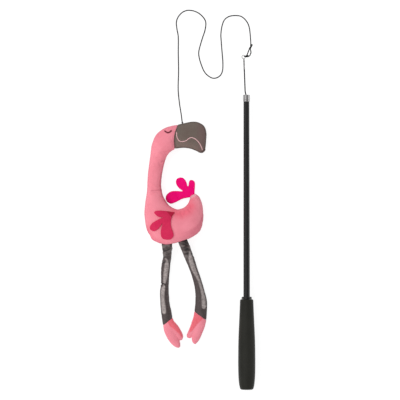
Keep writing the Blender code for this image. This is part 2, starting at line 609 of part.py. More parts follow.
def cord_route():
    """The free cord's own points, from the knot to the top of the beak."""
    floor = [over_floor(x, y, CORD_RADIUS) for x, y in CORD_ON_FLOOR]
    return [from_eye(*p) for p in CORD_FROM_KNOT] + floor + [over_floor(*p) for p in CORD_TO_BEAK]


def make_cord():
    points = smooth_through(cord_route(), CORD_STEPS)
    tube("cord", points, CORD_RADIUS, "cord", "eye_swing")
    length = sum((Vector(b) - Vector(a)).length for a, b in zip(points, points[1:]))
    print(f"free cord {length:.4f} m")


def flat_rows(stations):
    """Stations of a stuffed form in world places, each as one row of numbers."""
    at = over_floor(*TOY_FROM_EYE)
    return [
        (at[0] + left[0], at[1] + left[1], at[0] + right[0], at[1] + right[1], depth, lift)
        for left, right, depth, lift in stations
    ]


def section_points(row, shift, sides):
    """One lens section across a stuffed form, no lower than the floor."""
    left, right = Vector(row[0:2]), Vector(row[2:4])
    half = (right - left) / 2
    middle = (left + right) / 2 + shift
    depth, lift = row[4], row[5]
    points = []
    for k in range(sides):
        a = math.tau * k / sides
        flat = middle + half * math.cos(a)
        rise = depth * math.sin(a) * (1 - SEAM_PINCH * math.cos(a) ** 2)
        points.append((flat.x, flat.y, max(0, depth - FLOOR_CUT + rise + lift)))
    return points


def stuffed_form(name, rows, material, parent, gaps=(0.0, 0.0), sides=FORM_SIDES, collection=None):
    """A loft through lens sections, whose ends stay clear of what they are sewn to by the gaps."""
    form = bmesh.new()
    last = len(rows) - 1
    rings = []
    for i, row in enumerate(rows):
        middle = (Vector(row[0:2]) + Vector(row[2:4])) / 2
        near = rows[1] if i == 0 else rows[last - 1]
        shift = Vector((0, 0))
        if i in (0, last):
            inward = ((Vector(near[0:2]) + Vector(near[2:4])) / 2 - middle).normalized()
            shift = inward * gaps[0 if i == 0 else 1]
        rings.append([form.verts.new(point) for point in section_points(row, shift, sides)])
    for a, b in zip(rings, rings[1:]):
        for k in range(sides):
            form.faces.new((a[k], a[(k + 1) % sides], b[(k + 1) % sides], b[k]))
    form.faces.new(rings[0][::-1])
    form.faces.new(rings[-1])
    bmesh.ops.recalc_face_normals(form, faces=form.faces)
    mesh = bpy.data.meshes.new(name)
    form.to_mesh(mesh)
    form.free()
    mesh.shade_smooth()
    mesh.set_sharp_from_angle(angle=SMOOTH_ANGLE)
    return add_object(name, mesh, material, parent, collection)


def torso_surface():
    """The whole torso's skin, for what lies on it."""
    rows = smooth_through(flat_rows(TORSO), CURVE_STEPS)
    points, faces = [], []
    for i, row in enumerate(rows):
        points += [Vector(point) for point in section_points(row, Vector((0, 0)), FORM_SIDES)]
        if i:
            low = (i - 1) * FORM_SIDES
            for k in range(FORM_SIDES):
                after = (k + 1) % FORM_SIDES
                faces.append((low + k, low + after, low + FORM_SIDES + after, low + FORM_SIDES + k))
    return BVHTree.FromPolygons(points, faces)


def make_torso():
    """Head, neck, breast, belly and rump are stretches of one smooth stuffed form."""
    rows = smooth_through(flat_rows(TORSO), CURVE_STEPS)
    for name, first, last in TORSO_PIECES:
        gaps = (SEAM_GAP / 2, 0 if last == len(TORSO) - 1 else SEAM_GAP / 2)
        stretch = rows[first * CURVE_STEPS:last * CURVE_STEPS + 1]
        stuffed_form(name, stretch, "plush_pink", "beak_swing", gaps)
    rows = smooth_through(flat_rows(BEAK), CURVE_STEPS)
    stuffed_form("beak", rows, "beak", "beak_swing", (SEAM_GAP / 2, 0))


def make_limbs():
    """Legs, and feet that are each two toes joined."""
    for side, leg, long_toe, short_toe in (
        ("left", LEG_LEFT, FOOT_LEFT_LONG_TOE, FOOT_LEFT_SHORT_TOE),
        ("right", LEG_RIGHT, FOOT_RIGHT_LONG_TOE, FOOT_RIGHT_SHORT_TOE),
    ):
        rows = smooth_through(flat_rows(leg), CURVE_STEPS)
        stuffed_form("leg_" + side, rows, "leg_grey", "hip_" + side, sides=LIMB_SIDES)
        rows = smooth_through(flat_rows(long_toe), CURVE_STEPS)
        foot = stuffed_form("foot_" + side, rows, "foot_pink", "ankle_" + side, sides=LIMB_SIDES)
        rows = smooth_through(flat_rows(short_toe), CURVE_STEPS)
        toe = stuffed_form("short_toe_" + side, rows, None, None, sides=LIMB_SIDES, collection=CUTTERS)
        boolean(foot, toe, "UNION")


def inside(point, outline):
    """Whether a point lies inside a closed outline, by crossings."""
    x, y = point
    odd = False
    for (ax, ay), (bx, by) in zip(outline, outline[1:] + outline[:1]):
        if (ay > y) != (by > y) and x < ax + (y - ay) * (bx - ax) / (by - ay):
            odd = not odd
    return odd


def felt_piece(name, outline, height_at, material, parent):
    """Felt cut to an outline, its underside at the height that height_at gives."""
    at = over_floor(*TOY_FROM_EYE)
    edge = smooth_through([(at[0] + x, at[1] + y) for x, y in outline], FELT_STEPS)
    low = [min(point[k] for point in edge) for k in (0, 1)]
    high = [max(point[k] for point in edge) for k in (0, 1)]
    fill = []
    for i in range(int((high[0] - low[0]) / FELT_SPACING) + 1):
        for j in range(int((high[1] - low[1]) / FELT_SPACING) + 1):
            point = (low[0] + (i + 0.5 * (j % 2)) * FELT_SPACING, low[1] + j * FELT_SPACING)
            clear = min(math.dist(point, other) for other in edge) > FELT_SPACING / 2
            if clear and inside(point, edge):
                fill.append(point)
    rim = [(i, (i + 1) % len(edge)) for i in range(len(edge))]
    flat, _, faces, *_ = delaunay_2d_cdt([Vector(point) for point in edge + fill], rim, [], 1, 1e-7)
    mesh = bpy.data.meshes.new(name)
    mesh.from_pydata([(point.x, point.y, height_at(point)) for point in flat], [], faces)
    made = add_object(name, mesh, material, parent)
    thick = made.modifiers.new("Felt", "SOLIDIFY")
    thick.thickness = FELT_THICKNESS
    thick.offset = 1.0
    return made


def on_torso(x, y):
    """Height of the felt's underside where it lies on the torso."""
    hit = TORSO_SURFACE.ray_cast(Vector((x, y, 1.0)), Vector((0, 0, -1)))[0]
    return hit.z + WING_CLEARANCE


def make_wing():
    felt_piece("wing", WING, lambda point: on_torso(point.x, point.y), "raspberry_felt", "wing_root")


def make_tail():
    """The feathers slope from the rump's seam down to the floor."""
    at = Vector(over_floor(*TOY_FROM_EYE)[:2])
    first, last = at + Vector(TAIL[0]), at + Vector(TAIL[-1])
    along = (first - last).normalized()
    away = Vector((-along.y, along.x))

    def sloped(point):
        reach = max(0.0, (point - last).dot(away)) / TAIL_REACH
        return TAIL_ROOT_HEIGHT + (TAIL_TIP_HEIGHT - TAIL_ROOT_HEIGHT) * reach

    felt_piece("tail_feathers", TAIL, sloped, "magenta_felt", "tail_root")


def place_pivots():
    """Empties on the joints' axes, in the order in which they carry each other."""
    add_pivot("middle_slide", along_wand(FERRULE_FACE))
    add_pivot("inner_slide", along_wand(FERRULE_FACE), "middle_slide")
    add_pivot("tip_slide", along_wand(FERRULE_FACE), "inner_slide")
    add_pivot("eye_swing", from_eye(0, 0), "tip_slide")
    toy = Vector(over_floor(*TOY_FROM_EYE))
    add_pivot("beak_swing", toy + Vector((0, 0, BEAK[0][2] - FLOOR_CUT)), "eye_swing")
    wing = toy + Vector((*WING[0], 0))
    wing.z = on_torso(wing.x, wing.y)
    add_pivot("wing_root", wing, "beak_swing")
    root = (Vector(TAIL[0]) + Vector(TAIL[-1])) / 2
    add_pivot("tail_root", toy + Vector((*root, TAIL_ROOT_HEIGHT + FELT_THICKNESS)), "beak_swing")
    for side, leg in (("left", LEG_LEFT), ("right", LEG_RIGHT)):
        for joint, parent, (one, other, depth, lift) in (
            ("hip_" + side, "beak_swing", leg[0]), ("ankle_" + side, "hip_" + side, leg[-1])
        ):
            middle = (Vector(one) + Vector(other)) / 2
            add_pivot(joint, toy + Vector((*middle, 2 * depth - FLOOR_CUT + lift)), parent)
    for name, place in PIVOT_PLACES.items():
        print(name, [round(value, 5) for value in place])


clear_scene()
PARTS = new_collection("cat_teaser_wand")
CUTTERS = new_collection("cutters_and_guides")
PIVOTS, PIVOT_PLACES = {}, {}
MATERIALS = {
    "grip": new_material("grip", srgb(58, 58, 53), 0.62),
    "collar": new_material("collar", srgb(44, 44, 43), 0.4),
    "black_coat": new_material("black_coat", srgb(38, 38, 40), 0.35),
    "bright_metal": new_material("bright_metal", srgb(190, 186, 192), 0.22, 1.0),
    "steel": new_material("steel", srgb(170, 170, 172), 0.3, 1.0),
    "dark_steel": new_material("dark_steel", srgb(110, 110, 112), 0.35, 1.0),
    "brass": new_material("brass", srgb(184, 150, 92), 0.35, 1.0),
    "cord": new_material("cord", srgb(62, 62, 62), 0.8),
    "plush_pink": new_material("plush_pink", srgb(240, 140, 155), 0.9),
    "beak": new_material("beak", srgb(108, 96, 90), 0.9),
    "raspberry_felt": new_material("raspberry_felt", srgb(210, 40, 88), 0.95),
    "magenta_felt": new_material("magenta_felt", srgb(236, 14, 118), 0.95),
    "leg_grey": new_material("leg_grey", srgb(92, 83, 80), 0.35),
    "foot_pink": new_material("foot_pink", srgb(238, 138, 150), 0.9),
}
TORSO_SURFACE = torso_surface()
place_pivots()
make_grip()
make_outer_tube()
make_sections()
make_tip()
make_knots()
make_cord()
make_torso()
make_limbs()
make_wing()
make_tail()
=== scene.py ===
"""Telescopic cat teaser wand with a plush flamingo on its cord, laid out flat and seen from above.

Metres, +Z up, on the floor z = 0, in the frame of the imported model. The wand lies along +Y with its
butt at -Y, and the toy lies on its side at -X. Most tables are written in tenths of a millimetre and
go through metres().
"""

import json
import math

import bmesh
import bpy
import numpy as np
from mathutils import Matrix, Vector, noise
from mathutils.bvhtree import BVHTree
from mathutils.geometry import delaunay_2d_cdt


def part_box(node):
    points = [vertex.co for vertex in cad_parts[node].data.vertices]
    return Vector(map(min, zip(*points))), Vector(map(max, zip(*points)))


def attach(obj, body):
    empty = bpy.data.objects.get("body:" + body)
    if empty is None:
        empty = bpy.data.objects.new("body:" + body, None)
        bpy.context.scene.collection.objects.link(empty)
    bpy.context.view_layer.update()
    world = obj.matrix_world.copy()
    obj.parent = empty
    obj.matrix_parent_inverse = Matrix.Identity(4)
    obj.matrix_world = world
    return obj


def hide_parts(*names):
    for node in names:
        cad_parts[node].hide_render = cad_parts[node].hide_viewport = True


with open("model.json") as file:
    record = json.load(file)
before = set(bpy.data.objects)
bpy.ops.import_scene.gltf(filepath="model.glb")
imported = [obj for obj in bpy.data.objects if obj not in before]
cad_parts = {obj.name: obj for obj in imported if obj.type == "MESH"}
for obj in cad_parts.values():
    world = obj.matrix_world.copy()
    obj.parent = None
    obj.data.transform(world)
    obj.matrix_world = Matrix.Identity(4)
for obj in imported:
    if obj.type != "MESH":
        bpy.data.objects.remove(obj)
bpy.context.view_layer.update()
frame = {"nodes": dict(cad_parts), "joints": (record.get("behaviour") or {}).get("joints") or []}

PLACES = {joint["name"]: Vector(joint["pos_m"]) for joint in frame["joints"] if joint.get("pos_m")}
EYE = PLACES["eye_swing"]
TOY = Vector((PLACES["beak_swing"].x, PLACES["beak_swing"].y, 0))
SCENE = bpy.context.scene


def metres(table):
    """The table in metres, from tenths of a millimetre."""
    return tuple(metres(row) if isinstance(row, tuple) else row / 10000 for row in table)


# The picture, 400 pixels wide
CAMERA_OVER = (-0.0003, 0.0261)
CAMERA_DISTANCE = 5.0
CAMERA_ROLL = -0.0013
FRAME_WIDTH = 0.4672
FRAME_HEIGHT_OVER_FLOOR = 0.010
SENSOR = 36.0

# Light
SKY_LOW = 0.90
SKY_HIGH = 0.60
SKY_SOUTH = 0.58  # more light from the butt's side
SKY_EAST = 0.10  # less light from the wand's side
KEY_AT = (-1.6, 0.7, 2.1)
KEY_SIZE = 1.2
KEY_POWER = 26.1
STUDIO_BANDS = (  # what shines back from each side, by its angle from straight up, to the right
    (-90, 0.40), (-62, 0.44), (-44, 0.86), (-24, 1.02), (-8, 0.60), (12, 0.34), (22, 0.10), (42, 0.10),
    (54, 0.86), (90, 0.90),
)
FLOOR_SIZE = 8.0
FLOOR_HEIGHT = -0.0001
FLOOR_GREY = 0.86
FLOOR_GLOW = 0.86
FLOOR_SHADOW = 0.24

# Wand
FIT_GAP = 0.0001  # between pieces that sit in each other
GRIP_PROFILE = (  # share of the length from the butt, radius
    (0.055, 0.0089), (0.112, 0.0095), (0.189, 0.0099), (0.331, 0.01005), (0.553, 0.0097),
    (0.774, 0.0087), (0.908, 0.0081), (0.987, 0.00778),
)
GRIP_BUTT_RADIUS = 0.0081
GRIP_BUTT_RIM = 0.0007
GRIP_BUTT_CUT = 0.0002
GRIP_FRONT_FILLET = 0.0017
GRIP_HOLLOW_RADIUS = 0.0048
GRIP_HOLLOW_DEPTH = 0.0340
GRIP_BORE = 0.0039
CAP_RADIUS = 0.0047
CAP_EDGE = 0.0004
CAP_DISH = 0.0005
CAP_DISH_RADIUS = 0.0032
COLLAR_RADIUS = 0.0060
COLLAR_FILLET = 0.0009
COLLAR_CUT = 0.0001
OUTER_REAR_RADIUS = 0.0038
OUTER_FRONT_RADIUS = 0.00342
OUTER_WALL = 0.00032
OUTER_RINGS = 12
FERRULE_RADIUS = 0.00405
FERRULE_EDGE = 0.0005
FERRULE_CUT = 0.0002
FERRULE_GROOVE = 0.00025
FERRULE_GROOVE_AT = 0.0020
FERRULE_LIP = 0.0012
FERRULE_HOLE = 0.00265
ROD_RADIUS = 0.00075
ROD_ASIDE = 0.00130  # of its straight line, to -X at the ferrule's face
ROD_LEAN = math.radians(2.15)
ROD_BEND = (  # from the face, to -X
    (-0.012, 0.0), (-0.006, 0.0002), (0.0, 0.0006), (0.0020, 0.0011), (0.0042, 0.00146),
)
ROD_STRAIGHT = 0.0065
ROD_STEP = 0.01
ROD_BEHIND_BEND = 0.014
ROD_SHORT = 0.0003  # of the ring's shank
SLEEVE_RADIUS = 0.00105
SLEEVE_LENGTH = 0.0118
SLEEVE_REACH = 0.0414
SLEEVE_FILLET = 0.0003
SLEEVE_CUT = 0.0001
SLEEVE_CRIMPS = (0.18, 0.30)
CRIMP_DEPTH = 0.00012
CRIMP_HALF = 0.0008
EYE_RADIUS = 0.00205
EYE_WIRE = 0.0004
EYE_SHANK_IN = 0.0040
EYE_SHANK_OUT = 0.0009

# Cord and its knots, from the middle of the eye; on the floor only x and y
CORD_RADIUS = 0.00063
HITCH_ANGLE = math.radians(20)
HITCH_LINK_RADIUS = 0.0012
HITCH_LINK_FROM = 35  # degrees
HITCH_LINK_TURN = 290
HITCH_LINK_DRIFT = 0.0003
HITCH_LINK_STEPS = 32
HITCH_WRAP_AT = (0.0040, 0.0009)
HITCH_WRAP_ANGLE = math.radians(8)
HITCH_WRAP_LENGTH = 0.0031
HITCH_WRAP_TURNS = 3.5
HITCH_COIL_RADIUS = 0.00070
KNOT_CENTRE = (0.0074, 0.0100, -0.00175)
KNOT_ANGLE = math.radians(57.6)
KNOT_LENGTH = 0.0036
KNOT_COIL_RADIUS = 0.00066
KNOT_TURNS = 3
KNOT_TAIL_SWELL = 0.5  # its end is melted
STRAND_LEFT = metres(((36, 18, 0), (40, 26, 0), (51, 52, -7), (59, 75, -13), (66, 89, -16)))
STRAND_RIGHT = metres(((40, 9, 0), (53, 4, 0), (71, 16, -3), (85, 50, -9), (83, 73, -15), (78, 90, -17)))
KNOT_TAIL = metres(((78, 104, -14), (89, 121, -8), (94, 134, -6), (100, 148, -7)))
CORD_FROM_KNOT = metres(((78, 108, -18), (81, 122, -23), (84, 165, -38), (78, 259, -78)))
CORD_ON_FLOOR = metres((
    (65, 355), (34, 422), (-23, 475), (-96, 488), (-169, 477), (-220, 441), (-249, 376), (-265, 272),
    (-260, 167), (-250, 40), (-242, -73), (-249, -166), (-284, -223), (-347, -246), (-408, -222),
    (-461, -166), (-500, -73), (-522, 10), (-523, 73), (-502, 156), (-476, 240), (-452, 313), (-441, 397),
    (-461, 454), (-515, 509), (-577, 540), (-639, 550), (-681, 543), (-726, 518), (-767, 468), (-786, 407),
    (-778, 322), (-764, 238), (-764, 40), (-761, -160), (-766, -370),
))
# with heights over the floor
CORD_TO_BEAK = metres(((-752, -530, 19), (-731, -665, 48), (-717, -774, 70), (-715, -786, 71)))
WHIPPING_AT = Vector((-0.0003, 0.0013, 0.0069))
WHIPPING_ANGLE = math.radians(-82)
WHIPPING_LENGTH = 0.0016
WHIPPING_TURNS = 5
THREAD_RADIUS = 0.0002
THREAD_SPACING = 0.0001
BRAID_SPACING = 0.00015
BRAID_SIDES = 30
BRAID_CARRIERS = 6
BRAID_DEPTH = 0.12  # share of the radius
BRAID_ROUNDING = 0.0002  # of cut ends
STITCH_SPACING = 0.00012
STITCH_LAY = 0.0011
STITCH_SIDES = 18
STITCH_HEIGHT = 0.6  # share of the width

# Toy, from the place where the cord enters the top of the beak. Its forms are lens sections: left
# x and y, right x and y, half of the thickness, and the lift off the floor if any.
SEAM_PINCH = 0.15  # share by which a section is thinner towards its seams
SEAM_PROUD = 0.0005  # of the sections, for the fabric
SEAM_BOW = 0.0026
SEAM_BOW_FADE = 0.016
SEAM_GROOVE_WIDTH = 0.0011
FLOOR_CUT = 0.0005  # flattened by the floor
CLOTH_SCALE = 10
CLOTH_FRAMES = 20
CLOTH = {
    "quality": 7, "mass": 0.25, "tension_stiffness": 12, "compression_stiffness": 12, "shear_stiffness": 4,
    "bending_stiffness": 0.4, "tension_damping": 20, "compression_damping": 20, "air_damping": 3,
    "use_pressure": True, "uniform_pressure_force": 3.0, "vertex_group_mass": "held",
}
TORSO = metres((
    (-56, -15, -95, -301, 83), (-137, -27, -120, -311, 95), (-230, -65, -140, -325, 100),
    (-313, -137, -162, -344, 100), (-355, -237, -186, -377, 93), (-373, -348, -208, -434, 86),
    (-388, -460, -230, -521, 80), (-403, -588, -246, -617, 78), (-410, -722, -254, -722, 79),
    (-420, -835, -239, -819, 88), (-438, -944, -204, -893, 103), (-445, -1066, -167, -947, 120),
    (-421, -1227, -125, -980, 134), (-381, -1302, -106, -989, 139), (-342, -1361, -88, -996, 142),
    (-201, -1408, -57, -1002, 143), (-49, -1383, -25, -995, 140), (89, -1334, 8, -983, 133),
    (200, -1251, 39, -961, 120), (236, -1132, 65, -930, 100), (236, -1020, 82, -896, 80),
    (221, -929, 92, -863, 60), (194, -858, 104, -840, 43), (156, -826, 125, -826, 25),
))
BEAK = metres((
    (-51, -11, -88, -288, 80), (27, 7, 9, -280, 76), (109, 21, 89, -289, 72), (185, 14, 141, -308, 68),
    (251, -30, 171, -321, 62), (277, -113, 188, -332, 54), (273, -214, 204, -336, 44),
    (262, -296, 218, -337, 30),
))
# the first section of a leg is inside the body
LEG_LEFT = metres((
    (-241, -1384, -127, -1384, 12, 131), (-241, -1416, -127, -1416, 12, 131),
    (-230, -1485, -133, -1485, 30, 82), (-226, -1557, -138, -1557, 34, 40),
    (-240, -1633, -148, -1633, 36, 10), (-250, -1690, -153, -1690, 34, 3),
    (-252, -1798, -164, -1798, 32, 0), (-251, -1880, -168, -1880, 29, 0), (-263, -1963, -168, -1963, 32, 0),
    (-261, -2083, -160, -2083, 32, 0), (-253, -2188, -142, -2176, 30, 0), (-231, -2352, -124, -2267, 27, 0),
))
LEG_RIGHT = metres((
    (-54, -1370, 43, -1341, 12, 131), (-42, -1400, 55, -1371, 12, 131), (-6, -1487, 92, -1471, 30, 82),
    (41, -1604, 132, -1576, 32, 34), (91, -1727, 167, -1692, 32, 6), (130, -1855, 212, -1823, 32, 0),
    (149, -1975, 250, -1954, 34, 0), (149, -2088, 280, -2088, 34, 0), (137, -2192, 273, -2294, 28, 0),
))
FOOT_LEFT_LONG_TOE = metres((
    (-229, -2357, -122, -2272, 27), (-212, -2436, -92, -2376, 29), (-168, -2523, -70, -2464, 29),
    (-122, -2581, -48, -2526, 26), (-81, -2610, -35, -2568, 21), (-55, -2617, -34, -2597, 15),
))
FOOT_LEFT_SHORT_TOE = metres((
    (-175, -2352, -115, -2303, 27), (-142, -2421, -60, -2364, 29), (-92, -2488, -15, -2441, 27),
    (-56, -2517, 0, -2489, 22), (-39, -2527, -9, -2519, 15),
))
FOOT_RIGHT_LONG_TOE = metres((
    (135, -2197, 271, -2299, 28), (124, -2300, 253, -2370, 29), (115, -2433, 217, -2463, 29),
    (108, -2509, 188, -2523, 26), (116, -2554, 166, -2554, 21), (131, -2569, 151, -2569, 15),
))
FOOT_RIGHT_SHORT_TOE = metres((
    (132, -2242, 198, -2290, 27), (106, -2321, 188, -2356, 29), (75, -2407, 149, -2440, 27),
    (49, -2466, 109, -2485, 22), (51, -2494, 89, -2503, 15),
))
# the first and last points of a felt are its sewn root
WING = metres((
    (-93, -1033), (-174, -1020), (-252, -1014), (-307, -1017), (-333, -1033), (-313, -1064), (-274, -1089),
    (-231, -1094), (-285, -1117), (-353, -1159), (-384, -1204), (-375, -1237), (-335, -1254), (-291, -1231),
    (-252, -1187), (-235, -1164), (-250, -1221), (-255, -1287), (-241, -1333), (-202, -1351), (-140, -1349),
    (-106, -1309), (-112, -1265), (-132, -1209), (-137, -1142), (-124, -1080),
))
TAIL = metres((
    (152, -824), (139, -810), (142, -751), (144, -701), (134, -670), (105, -656), (80, -664), (71, -695),
    (66, -726), (55, -724), (43, -682), (13, -638), (-28, -627), (-66, -642), (-80, -674), (-71, -716),
    (-39, -757), (-2, -787), (-84, -784), (-140, -792), (-186, -827), (-200, -869), (-189, -905),
    (-153, -931), (-117, -931), (-61, -906), (-5, -878), (40, -867), (81, -861), (95, -873),
))
FELT_THICKNESS = 0.0012
FELT_SPACING = 0.0009
FELT_ROUNDING = 0.0003
FELT_ROW = FELT_SPACING * 0.866  # between rows of points
TAIL_ROOT_HEIGHT = 0.0026
TAIL_TIP_HEIGHT = 0.0002
TAIL_REACH = 0.0236

# Lines and patches on the toy, from the same place
# each crease is a line, a depth and a width
TOY_CREASES = metres((
    (((-363, -781), (-312, -777), (-263, -777)), 6, 7), (((-347, -805), (-312, -804), (-283, -802)), 2, 5),
    (((-248, -442), (-224, -436), (-207, -431)), 4, 6),
))
LEFT_CREASES = metres((
    (((-224, -1491), (-185, -1480), (-144, -1458)), 7, 9), (((-230, -1624), (-210, -1616)), 6, 9),
    (((-258, -1874), (-228, -1868), (-200, -1886)), 7, 7),
))
RIGHT_CREASES = metres((
    (((2, -1405), (30, -1413), (56, -1420)), 7, 10), (((30, -1475), (46, -1470), (60, -1461)), 6, 10),
))
NECK_SHADE = metres((
    (-190, -430), (-222, -520), (-243, -617), (-250, -722), (-238, -810), (-207, -888), (-172, -938),
    (-130, -972),
))
NECK_SHADE_WIDTH = 0.0016
LOW_SHADE = metres(((-418, -1225), (-378, -1304), (-338, -1358), (-260, -1400)))
LOW_SHADE_WIDTH = 0.0032
TIP_BLUSH = metres(((96, -925), (110, -885)))
TIP_BLUSH_WIDTH = 0.0030
FOLD = metres((
    (245, -1000), (237, -1031), (220, -1101), (190, -1166), (126, -1224), (27, -1271), (-78, -1312),
))
FOLD_CORNER = (-0.0120, -0.0960)  # it is seen right of this place and below it
FOLD_DEPTH = 0.00035
FOLD_WIDTH = 0.0007
FOLD_DROP = 0.0003  # of the skin beyond it
PUCKERS = metres(((-102, -1026), (-61, -1049), (-20, -1055), (27, -1037), (68, -1008), (91, -967)))
PUCKERS_FROM = (-0.0015, -0.0830)
PUCKERS_BLUSH_WIDTH = 0.0058
PUCKER_SIZES = (  # how far each reaches, and how deep it is
    (0.0040, 0.7), (0.0024, 0.3), (0.0052, 1.0), (0.0030, 0.45), (0.0058, 0.8), (0.0026, 0.35),
)
PUCKER_START = 0.0030  # before its place
PUCKER_TWIST = 0.0012
PUCKER_REACH = 0.0085
PUCKER_DEPTH = 0.00036
PUCKER_RIDGE = 0.00016
PUCKER_WIDTH = 0.0011
LEG_ROOTS = metres((((-236, -1402), (-131, -1404)), ((-46, -1384), (46, -1356))))
LEG_ROOT_HEIGHT = 0.0140
LEG_ROOT_HALF = 0.0008
LEG_ROOT_DEPTH = 0.0006
LEG_ROOT_WIDTH = 0.0014
TIP_RUFFLE = metres(((85, -858), (113, -841), (150, -825)))
RUFFLE_DEPTH = 0.00030
RUFFLE_WIDTH = 0.0026
# lines along which painted shade marks the fold at each felt's sewn root
WING_FOLD = metres(((-118, -1125), (-124, -1100), (-190, -1018), (-200, -1000)))
TAIL_FOLD = metres(((72, -872), (136, -798), (150, -790)))
EYE_ARC = metres(((-213, -81), (-190, -99), (-171, -105), (-146, -97), (-128, -75)))
SMILE = metres((
    (-71, -97), (-65, -159), (-40, -199), (-6, -209), (39, -199), (72, -174), (105, -162), (151, -181),
    (195, -225), (223, -281), (231, -310),
))
# the painted highlight bands on the legs have half of their width with each place
LEFT_BAND = metres((
    (-187, -1628, 17), (-190, -1666, 24), (-198, -1726, 24), (-205, -1785, 21), (-213, -1845, 16),
    (-221, -1872, 8), (-218, -1895, 9), (-228, -1928, 20), (-234, -1964, 20), (-237, -2024, 19),
    (-233, -2083, 22), (-227, -2143, 24), (-219, -2200, 21),
))
LEFT_GLINT = metres(((-206, -1573, 3), (-193, -1583, 8), (-184, -1599, 9), (-180, -1616, 7)))
RIGHT_BAND = metres((
    (78, -1493, 2), (83, -1523, 13), (87, -1558, 20), (98, -1606, 23), (114, -1666, 25), (138, -1725, 21),
    (166, -1785, 15), (191, -1844, 12), (210, -1904, 12), (226, -1964, 14), (238, -2023, 20),
    (243, -2083, 23), (246, -2140, 23),
))
LEFT_PATCH = metres((
    (-190, -2310), (-124, -2268), (-58, -2363), (-14, -2441), (-2, -2491), (-22, -2494), (-52, -2452),
    (-95, -2412), (-152, -2367),
))
RIGHT_PATCH = metres((
    (138, -2202), (243, -2276), (173, -2340), (112, -2421), (69, -2450), (78, -2405), (107, -2321),
))
SKIN_SEAM_DEPTH = 0.00035
SEAM_DEPTH = 0.0003
# uneven stuffing: how high its hills are, their size and the seed of their noise
TORSO_HILLS = ((0.00030, 0.013, 3.1), (0.00010, 0.0045, 7.7))
BEAK_HILLS = ((0.00022, 0.010, 5.3), (0.00008, 0.004, 1.7))
FOOT_HILLS = ((0.00012, 0.004, 6.6), (0.00005, 0.0018, 3.6))
FOOT_GRAIN = 0.00042  # of the mesh in which its toes grow together


# Curves and meshes

def smooth_through(rows, steps):
    """Rows of numbers read from one smooth curve through the given rows, steps to each stretch."""
    before = tuple(2 * a - b for a, b in zip(rows[0], rows[1]))
    after = tuple(2 * a - b for a, b in zip(rows[-1], rows[-2]))
    known = [before, *(tuple(row) for row in rows), after]
    made = []
    for i in range(1, len(known) - 2):
        for t in (k / steps for k in range(steps)):
            made.append(tuple(
                b + (c - a) * t / 2 + (a - 2.5 * b + 2 * c - d / 2) * t**2
                + (1.5 * (b - c) + (d - a) / 2) * t**3
                for a, b, c, d in zip(*known[i - 1:i + 3])
            ))
    return made + [tuple(rows[-1])]


def evenly(points, spacing):
    """The same line with its points at one spacing."""
    points = np.array(points, dtype=float)
    run = run_along(points)
    at = np.linspace(0, run[-1], max(2, int(round(run[-1] / spacing)) + 1))
    return np.stack([np.interp(at, run, points[:, k]) for k in range(points.shape[1])], axis=1)


def run_along(points):
    return np.concatenate(([0], np.cumsum(np.linalg.norm(np.diff(points, axis=0), axis=1))))


def arc(centre, radius, start, end, steps=8):
    """Points of an arc in a turned profile, angles in degrees from the radius axis."""
    angles = [math.radians(start + (end - start) * k / steps) for k in range(steps + 1)]
    return [(centre[0] + radius * math.cos(a), centre[1] + radius * math.sin(a)) for a in angles]


def rounded(radius, end, fillet):
    """The rounded outer corner of a turned profile."""
    return arc((radius - fillet, end - fillet), fillet, 0, 90)


def cut_start(bore, radius, start, cut):
    """The rear face of a turned profile, with a small cut at its outer corner."""
    return [(bore, start), (radius - cut, start), (radius, start + cut)]


def bearing(angle):
    """The direction over the floor at an angle from +X, and the one to its left."""
    way = Vector((math.cos(angle), math.sin(angle), 0))
    return way, Vector((-way.y, way.x, 0))


def spoke(side, angle):
    """The direction at an angle from side, turned upwards."""
    return side * math.cos(angle) + Vector((0, 0, math.sin(angle)))


def quads(a, b):
    """Faces between two rings of points, which are given by their numbers."""
    return [(a[k], a[j], b[j], b[k]) for k in range(len(a)) for j in [(k + 1) % len(a)]]


def fan(ring, tip):
    return [(tip, ring[(k + 1) % len(ring)], ring[k]) for k in range(len(ring))]


def add_mesh(name, points, faces, material, sharp=None, values=None):
    """An object whose mesh is in world places, with a value per point under each given name."""
    mesh = bpy.data.meshes.new(name)
    mesh.from_pydata([tuple(map(float, point)) for point in points], [], faces)
    form = bmesh.new()
    form.from_mesh(mesh)
    bmesh.ops.recalc_face_normals(form, faces=form.faces)
    form.to_mesh(mesh)
    form.free()
    mesh.shade_smooth()
    if sharp:
        mesh.set_sharp_from_angle(angle=math.radians(sharp))
    set_values(mesh, **(values or {}))
    mesh.materials.append(material)
    made = bpy.data.objects.new(name, mesh)
    SCENE.collection.objects.link(made)
    return made


def joined(parts, points=(), faces=()):
    """The given points and faces with those of the parts, which are taken away."""
    points, faces = list(points), list(faces)
    for part in parts:
        base = len(points)
        points += [tuple(vertex.co) for vertex in part.data.vertices]
        faces += [tuple(base + k for k in face.vertices) for face in part.data.polygons]
        bpy.data.objects.remove(part)
    return points, faces


def set_values(mesh, **values):
    for label, numbers in values.items():
        layer = mesh.attributes.get(label) or mesh.attributes.new(label, "FLOAT", "POINT")
        layer.data.foreach_set("value", np.ascontiguousarray(numbers, dtype=np.float32))


def get_values(mesh, label):
    numbers = np.zeros(len(mesh.vertices), dtype=np.float32)
    mesh.attributes[label].data.foreach_get("value", numbers)
    return numbers.astype(float)


def get_points(mesh):
    numbers = np.zeros(3 * len(mesh.vertices))
    mesh.vertices.foreach_get("co", numbers)
    return numbers.reshape(-1, 3)


def set_points(mesh, points):
    mesh.vertices.foreach_set("co", np.ascontiguousarray(points).ravel())
    mesh.update()


def get_normals(mesh):
    numbers = np.zeros(3 * len(mesh.vertices), dtype=np.float32)
    mesh.vertex_normals.foreach_get("vector", numbers)
    return numbers.reshape(-1, 3).astype(float)


